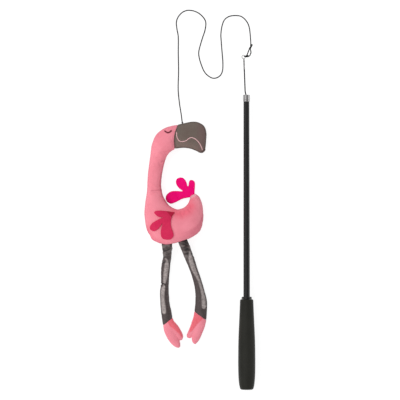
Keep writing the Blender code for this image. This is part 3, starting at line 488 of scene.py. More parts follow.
def push_out(mesh, points, normals, push):
    """Moves the points along their normals, though not into the floor; their new places."""
    points = points + normals * push[:, None]
    points[:, 2] = np.maximum(points[:, 2], 0)
    set_points(mesh, points)
    return points


def apply_modifiers(piece):
    """Leaves the piece with the mesh that its modifiers make."""
    graph = bpy.context.evaluated_depsgraph_get()
    shaped = piece.evaluated_get(graph)
    made = bpy.data.meshes.new_from_object(shaped, preserve_all_data_layers=True, depsgraph=graph)
    piece.modifiers.clear()
    old = piece.data
    piece.data = made
    bpy.data.meshes.remove(old)
    piece.data.shade_smooth()


def subdivide(piece):
    finer = piece.modifiers.new("Finer", "SUBSURF")
    finer.levels = finer.render_levels = 1
    apply_modifiers(piece)


def settle(piece, body, slot, *nodes):
    """Gives the piece its body and hides the nodes that it stands for; slot is not used."""
    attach(piece, body)
    if nodes:
        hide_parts(*nodes)
    return piece


def turned(name, profile, material, place, lean=0.0, steps=96, sharp=30):
    """A profile of radius and distance, turned about an axis along the wand or leaning from it."""
    across, forward = bearing(lean)
    points, rings, faces = [], [], []
    for radius, distance in profile:
        middle = Vector(place) + forward * distance
        count = 1 if radius < 1e-7 else steps
        rings.append(range(len(points), len(points) + count))
        points += [middle + spoke(across, math.tau * k / steps) * radius for k in range(count)]
    pairs = list(zip(rings, rings[1:]))
    if len(rings[0]) > 1:
        pairs.append((rings[-1], rings[0]))
    for a, b in pairs:
        for k in range(steps):
            corners = [a[k % len(a)], b[k % len(b)], b[(k + 1) % len(b)], a[(k + 1) % len(a)]]
            corners = list(dict.fromkeys(corners))
            if len(corners) > 2:
                faces.append(corners)
    return add_mesh(name, points, faces, material, sharp)


def directions(points):
    """Across and up at each point of a line, turned as little as possible from point to point."""
    along = np.gradient(points, axis=0)
    along /= np.linalg.norm(along, axis=1)[:, None]
    side = np.cross(along[0], (0, 0, 1.0))
    across = np.zeros_like(points)
    for i, way in enumerate(along):
        side = side - way * (side @ way)
        side /= np.linalg.norm(side)
        across[i] = side
    return across, np.cross(across, along)


def tube(name, points, radius, material, sides, relief=1.0, values=None, flat=1.0):
    """A tube along points; relief is its radius's share at each point, flat squashes it in height."""
    points = np.array(points, dtype=float)
    across, up = directions(points)
    turn = np.linspace(0, math.tau, sides, endpoint=False)
    reach = relief * radius * np.ones((len(points), sides))
    rings = points[:, None, :] + (reach * np.cos(turn))[:, :, None] * across[:, None, :]
    rings = rings + (reach * np.sin(turn) * flat)[:, :, None] * up[:, None, :]
    count = len(points) * sides
    made = rings.reshape(-1, 3).tolist() + [points[0].tolist(), points[-1].tolist()]
    numbers = [range(at, at + sides) for at in range(0, count, sides)]
    faces = [face for a, b in zip(numbers, numbers[1:]) for face in quads(a, b)]
    faces += fan(numbers[0], count) + fan(numbers[-1], count + 1)
    layers = {}
    for label, shares in (values or {}).items():
        layers[label] = np.concatenate((shares.ravel(), [shares[0].mean(), shares[-1].mean()]))
    return add_mesh(name, made, faces, material, values=layers)


def braided(name, points, swell=0.0):
    """Braided cord: strands wind both ways round it, and each crossing stands out a little.

    swell is the share by which a cut end is thicker than the start.
    """
    line = evenly(points, BRAID_SPACING)
    run = np.arange(len(line)) * BRAID_SPACING
    turn = np.linspace(0, math.tau, BRAID_SIDES, endpoint=False)
    half = BRAID_CARRIERS / 2
    phase = run[:, None] * half / CORD_RADIUS
    one = np.abs(np.cos(half * turn[None, :] + phase))
    other = np.abs(np.cos(half * turn[None, :] - phase))
    over = np.maximum(one, other)
    ends = np.clip(np.minimum(run, run[-1] - run) / BRAID_ROUNDING, 0.75, 1)[:, None]
    relief = (1 - BRAID_DEPTH + 1.35 * BRAID_DEPTH * over) * ends * (1 + swell * run / run[-1])[:, None]
    return tube(name, line, CORD_RADIUS, LOOKS["cord"], BRAID_SIDES, relief, {"over": over})


def twisted(name, points, radius, material):
    """Embroidery thread of close slanting stitches."""
    line = evenly(points, STITCH_SPACING)
    run = np.arange(len(line)) * STITCH_SPACING
    turn = np.linspace(0, math.tau, STITCH_SIDES, endpoint=False)
    ridge = np.abs(np.sin(math.pi * run[:, None] / STITCH_LAY + turn[None, :] / 2))
    ends = np.sqrt(np.clip(np.minimum(run, run[-1] - run) / radius, 0.05, 1))[:, None]
    relief = (0.86 + 0.2 * ridge) * ends
    return tube(name, line, radius, material, STITCH_SIDES, relief, {"over": ridge}, STITCH_HEIGHT)


# Materials: places are in metres on the object, so one noise scale is one size all over

def add(tree, kind, inputs=(), out=0, **settings):
    """A node whose inputs are set or linked, and one of its outputs."""
    made = tree.nodes.new("ShaderNode" + kind)
    for label, value in settings.items():
        setattr(made, label, value)
    for key, value in dict(inputs).items():
        if isinstance(value, bpy.types.NodeSocket):
            tree.links.new(value, made.inputs[key])
        else:
            made.inputs[key].default_value = value
    return made.outputs[out]


def place_of(tree):
    return add(tree, "TexCoord", out="Object")


def mottle(tree, scale, detail=2.0, rough=0.5, stretch=(1, 1, 1)):
    place = add(tree, "Mapping", {"Vector": place_of(tree), "Scale": stretch})
    return add(tree, "TexNoise", {"Vector": place, "Scale": scale, "Detail": detail, "Roughness": rough})


def ranged(tree, value, low, high, to_low=0.0, to_high=1.0):
    inputs = {"Value": value, "From Min": low, "From Max": high, "To Min": to_low, "To Max": to_high}
    return add(tree, "MapRange", inputs)


def tint(tree, share, first, second):
    """First colour where share is 0, second where it is 1."""
    return add(tree, "Mix", {0: share, 6: first, 7: second}, 2, data_type="RGBA")


def blend(tree, first, second, value, low, high, least=0.0, most=1.0):
    """First colour, with least of the second where value is low and most of it where it is high."""
    return tint(tree, ranged(tree, value, low, high, least, most), first, second)


def value_of(tree, label):
    return add(tree, "Attribute", (), 2, attribute_name=label, attribute_type="GEOMETRY")


def maths(tree, how, first, second):
    return add(tree, "Math", {0: first, 1: second}, operation=how)


def relief_of(tree, *reliefs):
    """The normal under reliefs on top of each other, each a height, a strength and a distance."""
    normal = None
    for height, strength, distance in reliefs:
        inputs = {"Height": height, "Strength": strength, "Distance": distance}
        normal = add(tree, "Bump", inputs if normal is None else inputs | {"Normal": normal})
    return normal


def colour(red, green, blue):
    return (red, green, blue, 1.0)


def grey(level):
    return colour(level, level, level)


def times(base, red, green=None, blue=None):
    """A colour times one number, or times one for each channel."""
    return colour(*(c * k for c, k in zip(base, (red, green or red, blue or red))))


def new_look(name, **plain):
    """A material with one shader, whose plain values are set on its own sockets, and its nodes."""
    material = bpy.data.materials.new(name)
    material.use_nodes = True
    tree = material.node_tree
    for label, value in plain.items():
        label = label.replace("_", " ").title().replace("Ior", "IOR")
        tree.nodes["Principled BSDF"].inputs[label].default_value = value
    return material, tree


def dressed(material, base, rough, *reliefs):
    """The material with its colour, roughness and reliefs linked."""
    tree = material.node_tree
    sockets = {"Base Color": base, "Roughness": rough, "Normal": relief_of(tree, *reliefs)}
    for label, socket in sockets.items():
        tree.links.new(socket, tree.nodes["Principled BSDF"].inputs[label])
    return material


def moulded_plastic(name, base, low_rough, high_rough, grain, specular):
    """Moulded plastic with a fine sandblasted grain, a little polished by hands on its broad parts."""
    material, tree = new_look(name, specular_ior_level=specular)
    broad = mottle(tree, 45, 3)
    fine = mottle(tree, grain, 3, 0.6)
    speck = add(tree, "TexVoronoi", {"Vector": place_of(tree), "Scale": grain * 0.7})
    hue = blend(tree, times(base, 0.82), times(base, 1.2), broad, 0.3, 0.7)
    hue = blend(tree, hue, times(base, 1.9), fine, 0.35, 0.75, 0, 0.35)
    rough = ranged(tree, broad, 0.3, 0.7, low_rough, high_rough)
    return dressed(material, hue, rough, (fine, 0.35, 0.00008), (speck, 0.22, 0.00006))


def coated_tube(name, base):
    """Satin black stove coat with slight orange peel, and rubbed lines along the tube."""
    material, tree = new_look(name, specular_ior_level=0.45)
    lines = mottle(tree, 900, 3, 0.6, (1, 0.02, 1))
    hue = blend(tree, colour(*base), times(base, 2.2), lines, 0.55, 0.8, 0, 0.5)
    rough = ranged(tree, mottle(tree, 30, 2), 0.3, 0.7, 0.22, 0.30)
    return dressed(material, hue, rough, (mottle(tree, 1400, 2), 0.12, 0.00003))


def worked_metal(name, base, rough, stretch):
    """Metal with fine lines in the direction in which it was drawn or turned, and a few dull clouds."""
    material, tree = new_look(name, metallic=1.0, specular_tint=grey(0.3))
    lines = mottle(tree, 5000, 2, 0.7, stretch)
    cloud = mottle(tree, 260, 3)
    hue = blend(tree, times(base, 0.72), colour(*base), lines, 0.3, 0.7)
    hue = blend(tree, hue, times(base, 0.6), cloud, 0.55, 0.8, 0, 0.35)
    rough = ranged(tree, cloud, 0.35, 0.75, rough, rough + 0.12)
    return dressed(material, hue, rough, (lines, 0.25, 0.00002))


def braided_cord(name, base):
    """Braided polyester: dull fibres, with painted shade in the hollows between its strands."""
    material, tree = new_look(name, specular_ior_level=0.15, sheen_weight=0.04, sheen_roughness=0.6)
    fibre = mottle(tree, 9000, 2, 0.6)
    # painted shade in the hollows between the strands
    hue = blend(tree, times(base, 0.35), times(base, 1.15), value_of(tree, "over"), 0.45, 0.95)
    hue = blend(tree, hue, times(base, 1.6), fibre, 0.4, 0.7, 0, 0.4)
    hue = blend(tree, hue, times(base, 1.5), mottle(tree, 300, 2), 0.4, 0.8, 0, 0.25)
    rough = ranged(tree, fibre, 0.3, 0.7, 0.72, 0.9)
    return dressed(material, hue, rough, (fibre, 0.5, 0.00004))


def short_plush(name, base, sheen, sheen_tint, layers):
    """Short pile plush. A layer is a value on the points, the colour that it brings and its most share."""
    material, tree = new_look(
        name, specular_ior_level=0.12, sheen_weight=sheen, sheen_roughness=0.55,
        sheen_tint=colour(*sheen_tint),
    )
    nap = mottle(tree, 420, 3, 0.6, (1, 0.55, 1))
    tuft = mottle(tree, 2300, 3, 0.65)
    light = times(base, 1.05, 1.10, 1.09)
    hue = blend(tree, times(base, 0.96, 0.90, 0.91), light, mottle(tree, 55, 3, 0.55), 0.32, 0.68)
    for label, other, most in layers:
        hue = blend(tree, hue, colour(*other), value_of(tree, label), 0.0, 1.0, 0.0, most)
    hue = blend(tree, hue, light, nap, 0.36, 0.7, 0, 0.22)
    hue = blend(tree, hue, times(base, 0.62, 0.45, 0.5), tuft, 0.52, 0.30, 0, 0.30)
    rough = ranged(tree, tuft, 0.3, 0.7, 0.82, 0.96)
    return dressed(material, hue, rough, (nap, 0.18, 0.0004), (tuft, 0.45, 0.00022))


def wool_felt(name, base, dark, root):
    """Pressed felt: matted fibres that lie all ways, with small pills."""
    material, tree = new_look(name, specular_ior_level=0.05, sheen_weight=0.06, sheen_roughness=0.6)
    one = mottle(tree, 1500, 3, 0.7, (1, 0.16, 1))
    other = mottle(tree, 1500, 3, 0.7, (0.16, 1, 1))
    fibre = maths(tree, "MAXIMUM", one, other)
    pills = mottle(tree, 700, 3, 0.6)
    light = colour(base[0] * 1.08, base[1] * 1.3 + 0.004, base[2] * 1.15)
    hue = blend(tree, colour(*base), light, mottle(tree, 120, 2), 0.35, 0.7)
    hue = blend(tree, hue, colour(*dark), fibre, 0.62, 0.42, 0, 0.5)
    # painted shade in the fold at the sewn root
    hue = blend(tree, hue, colour(*root), value_of(tree, "root"), 0.0, 1.0, 0.0, 0.85)
    rough = ranged(tree, pills, 0.3, 0.7, 0.86, 0.98)
    return dressed(material, hue, rough, (pills, 0.35, 0.0002), (fibre, 0.5, 0.00015))


def crinkled_satin(name, dark, light):
    """Shiny woven satin with small crinkles; a painted highlight band runs down the leg."""
    material, tree = new_look(
        name, specular_ior_level=0.6, sheen_weight=0.15, sheen_roughness=0.35, anisotropic=0.35,
    )
    crinkle = mottle(tree, 330, 4, 0.62, (1, 1.7, 1))
    small = mottle(tree, 1200, 3, 0.6)
    wave = {"Vector": place_of(tree), "Scale": 900, "Distortion": 0.6, "Detail": 1}
    thread = add(tree, "TexWave", wave, 1, wave_type="BANDS", bands_direction="DIAGONAL")
    # painted shade in the dents and painted glints on the ridges of the leg's folds, stronger near the hips
    hip, fold = value_of(tree, "hip"), value_of(tree, "fold")
    dent = maths(tree, "MULTIPLY", ranged(tree, fold, -0.05, -0.55), hip)
    glint = maths(tree, "MULTIPLY", ranged(tree, fold, 0.15, 0.75), hip)
    # darker in the crinkles' hollows and lighter on their tops: painted shade and painted highlight
    low = blend(tree, times(dark, 0.72), times(dark, 1.35), crinkle, 0.3, 0.72)
    low = tint(tree, maths(tree, "MULTIPLY", dent, 0.85), low, times(dark, 0.10))
    low = tint(tree, maths(tree, "MULTIPLY", glint, 0.42), low, times(light, 0.62))
    # colour of the painted highlight band, with painted glints on its small crinkles
    high = blend(tree, times(light, 0.62), times(light, 1.22), crinkle, 0.36, 0.62)
    high = blend(tree, high, times(light, 1.7), small, 0.55, 0.68, 0, 0.5)
    # painted highlight band over the satin's own colour
    hue = tint(tree, value_of(tree, "band"), low, high)
    # painted shade in the leg's creases
    hue = blend(tree, hue, times(dark, 0.12), value_of(tree, "crease"), 0, 1, 0, 0.9)
    hue = blend(tree, hue, colour(*dark), thread, 0.2, 0.9, 0.18, 0.0)
    rough = ranged(tree, small, 0.3, 0.7, 0.30, 0.46)
    reliefs = (crinkle, 0.4, 0.0007), (small, 0.3, 0.0002), (thread, 0.15, 0.00004)
    return dressed(material, hue, rough, *reliefs)


def embroidery(name, base):
    material, tree = new_look(name, specular_ior_level=0.35, sheen_weight=0.15, sheen_roughness=0.4)
    fibre = mottle(tree, 7000, 2)
    # painted shade between the stitches
    hue = blend(tree, times(base, 0.5), colour(*base), value_of(tree, "over"), 0.0, 0.8)
    rough = ranged(tree, fibre, 0.3, 0.7, 0.45, 0.65)
    return dressed(material, hue, rough, (fibre, 0.4, 0.00003))


def make_camera():
    camera = bpy.data.cameras.new("camera")
    camera.sensor_width = SENSOR
    camera.lens = SENSOR * CAMERA_DISTANCE / FRAME_WIDTH
    camera.clip_end = 50
    seat = bpy.data.objects.new("camera", camera)
    seat.location = (*CAMERA_OVER, CAMERA_DISTANCE + FRAME_HEIGHT_OVER_FLOOR)
    seat.rotation_euler = (0, 0, CAMERA_ROLL)
    SCENE.collection.objects.link(seat)
    SCENE.camera = seat


def make_floor():
    """White floor that keeps a soft shadow."""
    half = FLOOR_SIZE / 2
    corners = [(x * half, y * half, FLOOR_HEIGHT) for x, y in ((-1, -1), (1, -1), (1, 1), (-1, 1))]
    material = bpy.data.materials.new("studio_floor")
    material.use_nodes = True
    tree = material.node_tree
    tree.nodes.clear()
    plain = add(tree, "BsdfDiffuse", {"Color": grey(FLOOR_GREY)})
    soft = add(tree, "BsdfDiffuse", {"Color": grey(FLOOR_SHADOW)})
    glow = add(tree, "Emission", {"Color": grey(1), "Strength": FLOOR_GLOW})
    seen = add(tree, "AddShader", {0: soft, 1: glow})
    mixed = add(tree, "MixShader", {0: seen_ray(tree), 1: plain, 2: seen})
    add(tree, "OutputMaterial", {"Surface": mixed}, slice(0, 0))
    add_mesh("studio_floor", corners, [(0, 1, 2, 3)], material)


def make_sky():
    """A pale sky, with bands of light for what shines, and white behind it all."""
    world = SCENE.world or bpy.data.worlds.new("studio")
    SCENE.world = world
    world.use_nodes = True
    tree = world.node_tree
    tree.nodes.clear()
    ray = add(tree, "TexCoord", out="Generated")
    to_east, to_north, height = (add(tree, "SeparateXYZ", {"Vector": ray}, axis) for axis in range(3))
    sky = blend(tree, grey(SKY_LOW), colour(SKY_HIGH, SKY_HIGH, SKY_HIGH * 1.01), height, 0.05, 0.8)
    south = ranged(tree, to_north, 0.1, -0.9, 1.0, 1.0 + SKY_SOUTH)
    east = ranged(tree, to_east, 0.0, 0.9, 1.0, 1.0 - SKY_EAST)
    fill = add(tree, "Background", {"Color": sky, "Strength": maths(tree, "MULTIPLY", south, east)})
    angle = maths(tree, "DIVIDE", maths(tree, "ARCTAN2", to_east, height), math.pi)
    ramp = tree.nodes.new("ShaderNodeValToRGB")
    stops = ramp.color_ramp.elements
    stops.remove(stops[1])
    for k, (degrees, level) in enumerate(STUDIO_BANDS):
        at = (degrees + 90) / 180
        stop = stops[0] if k == 0 else stops.new(at)
        stop.position = at
        stop.color = grey(level)
    tree.links.new(ranged(tree, angle, -0.5, 0.5), ramp.inputs[0])
    bands = add(tree, "Background", {"Color": ramp.outputs[0]})
    white = add(tree, "Background", {"Color": grey(1)})
    mixed = add(tree, "MixShader", {0: add(tree, "LightPath", out="Is Glossy Ray"), 1: fill, 2: bands})
    mixed = add(tree, "MixShader", {0: add(tree, "LightPath", out="Is Camera Ray"), 1: mixed, 2: white})
    add(tree, "OutputWorld", {"Surface": mixed}, slice(0, 0))


def make_lamp():
    """One large soft lamp from the upper left."""
    lamp = bpy.data.lights.new("key", "AREA")
    lamp.shape = "DISK"
    lamp.size = KEY_SIZE
    lamp.energy = KEY_POWER
    seat = bpy.data.objects.new("key", lamp)
    seat.location = KEY_AT
    seat.rotation_euler = (-Vector(KEY_AT)).to_track_quat("-Z", "Y").to_euler()
    seat.visible_glossy = False
    SCENE.collection.objects.link(seat)


def seen_ray(tree):
    """1 for what the camera sees, straight, in a mirror or through glass."""
    path = tree.nodes.new("ShaderNodeLightPath")
    straight = maths(tree, "MAXIMUM", path.outputs["Is Camera Ray"], path.outputs["Is Glossy Ray"])
    return maths(tree, "MAXIMUM", straight, path.outputs["Is Transmission Ray"])


# Cord

def from_eye(x, y, z=0.0):
    return EYE + Vector((x, y, z))


def over_floor(x, y, z):
    return Vector((EYE.x + x, EYE.y + y, z))


def coil(centre, angle, length, radius, turns):
    """A winding about an axis in the plane of the floor, with its ends tucked in."""
    way, side = bearing(angle)
    made = []
    count = int(40 * turns)
    for k in range(count + 1):
        t = k / count
        reach = radius * min(1.0, 6 * t + 0.15, 6 * (1 - t) + 0.15)
        made.append(centre + way * length * (t - 0.5) + spoke(side, math.tau * turns * t) * reach)
    return made


def make_cord():
    floor = [over_floor(x, y, CORD_RADIUS) for x, y in CORD_ON_FLOOR]
    route = [from_eye(*p) for p in CORD_FROM_KNOT] + floor + [over_floor(*p) for p in CORD_TO_BEAK]
    line = smooth_through(route, 12)
    length = sum((Vector(b) - Vector(a)).length for a, b in zip(line, line[1:]))
    cord = settle(braided("line_cord", line), "line", "cord", "cord")

    way, aside = bearing(HITCH_ANGLE)
    hook = []
    for k in range(HITCH_LINK_STEPS + 1):
        a = math.radians(HITCH_LINK_FROM + HITCH_LINK_TURN * k / HITCH_LINK_STEPS)
        drift = aside * HITCH_LINK_DRIFT * (2 * k / HITCH_LINK_STEPS - 1)
        hook.append(EYE + way * EYE_RADIUS + spoke(way, a) * HITCH_LINK_RADIUS + drift)
    wound = coil(
        from_eye(*HITCH_WRAP_AT), HITCH_WRAP_ANGLE, HITCH_WRAP_LENGTH, HITCH_COIL_RADIUS, HITCH_WRAP_TURNS
    )
    barrel = coil(
        from_eye(*KNOT_CENTRE), KNOT_ANGLE, KNOT_LENGTH - 2 * CORD_RADIUS, KNOT_COIL_RADIUS, KNOT_TURNS
    )
    left, right, tail = (
        smooth_through([from_eye(*point) for point in points], 10)
        for points in (STRAND_LEFT, STRAND_RIGHT, KNOT_TAIL)
    )
    pieces = [
        settle(braided("line_" + name, points, swell), "line", "cord", *nodes)
        for name, points, swell, *nodes in (
            ("hitch", hook, 0, "hitch_knot"), ("hitch_wrap", wound, 0),
            ("strand_left", left, 0, "loop_strand_left"), ("strand_right", right, 0, "loop_strand_right"),
            ("knot_tail", tail, KNOT_TAIL_SWELL, "knot_tail"), ("knot", barrel, 0, "loop_knot"),
        )
    ]
    tuple(route[0])
    [tuple(point) for point in line]

    reach = CORD_RADIUS + THREAD_RADIUS
    thread = coil(TOY + WHIPPING_AT, WHIPPING_ANGLE, WHIPPING_LENGTH, reach, WHIPPING_TURNS)
    thread = evenly(thread, THREAD_SPACING)
    settle(tube("cord_whipping", thread, THREAD_RADIUS, LOOKS["dark_thread"], 12), "toy", "beak_plush")


# Wand

def make_handle():
    """Grip with its plug and collar, outer tube and ferrule; x and z of their axis and y of the face."""
    low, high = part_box("grip")
    length = high.y - low.y
    place = ((low.x + high.x) / 2, low.y, (low.z + high.z) / 2)

    def span(node):
        return (corner.y - low.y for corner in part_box(node))

    def part(name, profile, look, slot, node, **more):
        settle(turned(name, profile, LOOKS[look], place, **more), "handle", slot, node)

    rim = GRIP_HOLLOW_RADIUS + GRIP_BUTT_RIM
    butt = GRIP_BUTT_RADIUS - rim
    front = GRIP_PROFILE[-1][1] - GRIP_FRONT_FILLET
    profile = [
        (GRIP_HOLLOW_RADIUS, GRIP_HOLLOW_DEPTH), (GRIP_HOLLOW_RADIUS, GRIP_BUTT_CUT),
        (GRIP_HOLLOW_RADIUS + GRIP_BUTT_CUT, 0), *arc((rim, butt), butt, -90, -15),
        *((radius, share * length) for share, radius in smooth_through(GRIP_PROFILE, 8)),
        *arc((front, length - GRIP_FRONT_FILLET), GRIP_FRONT_FILLET, 20, 90),
        (GRIP_BORE, length), (GRIP_BORE, GRIP_HOLLOW_DEPTH),
    ]
    part("grip_body", profile, "grip", "grip_plastic", "grip", steps=128)

    start, end = span("butt_cap")
    profile = [
        (0, start + CAP_DISH), (CAP_DISH_RADIUS - CAP_DISH, start + CAP_DISH), (CAP_DISH_RADIUS, start),
        *arc((CAP_RADIUS - CAP_EDGE, start + CAP_EDGE), CAP_EDGE, -90, 0), (CAP_RADIUS, end), (0, end),
    ]
    part("butt_plug", profile, "grip", "grip_plastic", "butt_cap")

    start, ring_end = span("grip_collar")
    bore = OUTER_REAR_RADIUS + FIT_GAP
    profile = cut_start(bore, COLLAR_RADIUS, start, COLLAR_CUT)
    profile += [*rounded(COLLAR_RADIUS, ring_end, COLLAR_FILLET), (bore, ring_end)]
    part("collar_ring", profile, "collar", "collar_plastic", "grip_collar")

    rear, fore = span("outer_tube")
    start, face = span("tube_ferrule")
    bore = OUTER_FRONT_RADIUS - OUTER_WALL
    taper = [(OUTER_REAR_RADIUS, ring_end)]
    for k in range(1, OUTER_RINGS + 1):
        taper.append((
            OUTER_REAR_RADIUS + (OUTER_FRONT_RADIUS - OUTER_REAR_RADIUS) * k / OUTER_RINGS,
            ring_end + (start - ring_end) * k / OUTER_RINGS,
        ))
    profile = [(bore, rear), (OUTER_REAR_RADIUS, rear), *taper, (OUTER_FRONT_RADIUS, fore), (bore, fore)]
    part("outer_shaft", profile, "coat", "black_coat", "outer_tube", sharp=40)

    groove = start + FERRULE_GROOVE_AT
    bore = OUTER_FRONT_RADIUS + FIT_GAP
    profile = [
        *cut_start(bore, FERRULE_RADIUS, start, FERRULE_CUT),
        (FERRULE_RADIUS, groove - FERRULE_GROOVE),
        *arc((FERRULE_RADIUS, groove), FERRULE_GROOVE, 240, 120, 6),
        (FERRULE_RADIUS, groove + FERRULE_GROOVE),
        *rounded(FERRULE_RADIUS, face, FERRULE_EDGE), (FERRULE_HOLE + FERRULE_CUT, face),
        (FERRULE_HOLE, face - FERRULE_CUT), (FERRULE_HOLE, face - FERRULE_LIP), (bore, face - FERRULE_LIP),
    ]
    part("front_ferrule", profile, "bright", "bright_metal", "tube_ferrule")
    return place[0], place[2], low.y + face


def make_tip(x, z, face):
    """Rod, sleeve and ring, which lean from the ferrule's face."""
    def at(distance, aside):
        return Vector((x - aside, face + distance, z))

    def on_lean(distance):
        return Vector((x - ROD_ASIDE - distance * math.tan(ROD_LEAN), face + distance, z))

    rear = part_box("tip_rod")[0].y
    straight = int((face - ROD_BEHIND_BEND - rear) / ROD_STEP) + 1
    bend = [at(*row) for row in ROD_BEND] + [on_lean(ROD_STRAIGHT), on_lean(2 * ROD_STRAIGHT)]
    points = [Vector((x, rear + k * ROD_STEP, z)) for k in range(straight)] + smooth_through(bend, 10)
    points.append(on_lean(SLEEVE_REACH - EYE_SHANK_IN - ROD_SHORT))
    settle(tube("drawn_rod", points, ROD_RADIUS, LOOKS["rod"], 32), "tip_section", "rod_steel", "tip_rod")

    bore = ROD_RADIUS + FIT_GAP
    profile = cut_start(bore, SLEEVE_RADIUS, -SLEEVE_LENGTH, SLEEVE_CUT)
    for share in SLEEVE_CRIMPS:
        middle = -SLEEVE_LENGTH * (1 - share)
        profile += [
            (SLEEVE_RADIUS - CRIMP_DEPTH * math.cos(math.pi * k / 8) ** 2, middle + CRIMP_HALF * k / 4)
            for k in range(-4, 5)
        ]
    profile += rounded(SLEEVE_RADIUS, 0, SLEEVE_FILLET)
    profile += [(EYE_WIRE + FIT_GAP, 0), (EYE_WIRE + FIT_GAP, -EYE_SHANK_IN), (bore, -EYE_SHANK_IN)]
    sleeve = turned("crimp_sleeve", profile, LOOKS["dull"], on_lean(SLEEVE_REACH), ROD_LEAN, 48)
    settle(sleeve, "tip_section", "bright_metal", "tip_sleeve")

    sides, count = 20, 72
    points = []
    for i in range(count):
        out = bearing(math.tau * i / count)[0]
        points += [
            EYE + out * EYE_RADIUS + spoke(out, math.tau * k / sides) * EYE_WIRE for k in range(sides)
        ]
    rings = [range(i * sides, (i + 1) * sides) for i in range(count)]
    faces = [face for a, b in zip(rings, rings[1:] + rings[:1]) for face in quads(a, b)]
    shank = [on_lean(SLEEVE_REACH + d) for d in (-EYE_SHANK_IN, 0, EYE_SHANK_OUT)]
    points, faces = joined([tube("shank", shank, EYE_WIRE, LOOKS["dull"], sides)], points, faces)
    settle(add_mesh("eye_ring", points, faces, LOOKS["dull"]), "tip_section", "bright_metal", "tip_eye")


def dress_inside():
    """The looks of the wand's hidden parts."""
    for node, look in (
        ("rear_plug", "grip"), ("middle_tube", "steel"), ("inner_tube", "steel"), ("middle_bush", "brass"),
        ("inner_bush", "brass"), ("tip_bush", "brass"),
    ):
        frame["nodes"][node].data.materials[0] = LOOKS[look]


# Toy

def stations(table, steps):
    rows = [(TOY.x + a, TOY.y + b, TOY.x + c, TOY.y + d, *rest) for a, b, c, d, *rest in table]
    return np.array(smooth_through(rows, steps))


def on_toy(points):
    return np.array([(TOY.x + x, TOY.y + y) for x, y in points])


def outline_of(rows):
    return np.vstack((rows[:, 0:2], rows[::-1, 2:4]))


def stuffed(name, rows, sides, material, ends, bow=0.0, groove=0.06):
    """A stuffed form through lens sections, with closed ends that curve inwards, as an object.

    ends is how far each end stands out, bow shifts the middle of the first end's seam, and groove
    draws the form in at its ends.
    """
    turn = np.linspace(0, math.tau, sides, endpoint=False)
    c, s = np.cos(turn), np.sin(turn)
    middles = (rows[:, 0:2] + rows[:, 2:4]) / 2
    halves = (rows[:, 2:4] - rows[:, 0:2]) / 2
    halves = halves * (1 + SEAM_PROUD / np.linalg.norm(halves, axis=1))[:, None]
    lifts = rows[:, 5] if rows.shape[1] > 5 else np.zeros(len(rows))
    way = np.gradient(middles, axis=0)
    way /= np.linalg.norm(way, axis=1)[:, None]
    seam_ways = []
    for i in (0, -1):
        normal = np.array((-halves[i][1], halves[i][0]))
        seam_ways.append(normal / np.linalg.norm(normal) * np.sign(normal @ way[i]))
    run = run_along(middles)
    points, rings, along = [], [], []

    def ring(i, shrink=1.0, push=0.0):
        drawn = groove * sum(bell(reach, SEAM_GROOVE_WIDTH) for reach in (run[i], run[-1] - run[i]))
        flat = middles[i] + halves[i] * c[:, None] * shrink * (1 - drawn * 0.25)
        fade = max(0.0, 1 - run[i] / SEAM_BOW_FADE) ** 2
        flat = flat + seam_ways[0] * (bow * fade * (1 - c[:, None] ** 2 * shrink)) + push
        rise = rows[i, 4] * s * (1 - SEAM_PINCH * c**2) * shrink * (1 - drawn)
        z = np.maximum(0, rows[i, 4] - FLOOR_CUT + rise + lifts[i])
        rings.append(range(len(points), len(points) + sides))
        points.extend(np.column_stack((flat, z)).tolist())
        along.extend([run[i]] * sides)

    shrinks = [0.2, 0.45, 0.7, 0.88, 0.97]
    for shrink in shrinks:
        ring(0, shrink, -seam_ways[0] * ends[0] * math.sqrt(1 - shrink**2))
    for i in range(len(rows)):
        ring(i)
    for shrink in shrinks[::-1]:
        ring(len(rows) - 1, shrink, seam_ways[1] * ends[1] * math.sqrt(1 - shrink**2))
    faces = [face for a, b in zip(rings, rings[1:]) for face in quads(a, b)]
    for last in (rings[0], rings[-1]):
        points.append(np.mean([points[k] for k in last], axis=0).tolist())
        along.append(along[last[0]])
        faces += fan(last, len(points) - 1)
    edge = np.concatenate((np.tile(np.abs(c), len(rings)), [0, 0]))
    return add_mesh(name, points, faces, material, values={"edge": edge, "along": along})


def fill_out(piece, held, slack, most):
    """Stuffs the skin by a short cloth run at a larger size, with its seams held, and keeps the result."""
    start = get_points(piece.data)
    set_points(piece.data, start * CLOTH_SCALE)
    group = piece.vertex_groups.new(name="held")
    for index, weight in enumerate(held):
        if weight > 0.01:
            group.add([index], float(weight), "REPLACE")
    cloth = piece.modifiers.new("Cloth", "CLOTH")
    for label, value in CLOTH.items():
        setattr(cloth.settings, label, value)
    cloth.settings.shrink_min = cloth.settings.shrink_max = -slack
    cloth.settings.effector_weights.gravity = 0
    cloth.point_cache.frame_start = 1
    cloth.point_cache.frame_end = CLOTH_FRAMES
    for step in range(1, CLOTH_FRAMES + 1):
        SCENE.frame_set(step)
    graph = bpy.context.evaluated_depsgraph_get()
    move = get_points(piece.evaluated_get(graph).data) / CLOTH_SCALE - start
    piece.modifiers.clear()
    piece.vertex_groups.clear()
    SCENE.frame_set(1)
    reach = np.linalg.norm(move, axis=1)
    made = start + move * np.minimum(1, most / np.maximum(reach, 1e-9))[:, None]
    made[:, 2] = np.maximum(made[:, 2], 0)
    print(piece.name, "filled out by up to", round(float(reach.max()) * 1000, 2), "mm")
    set_points(piece.data, made)


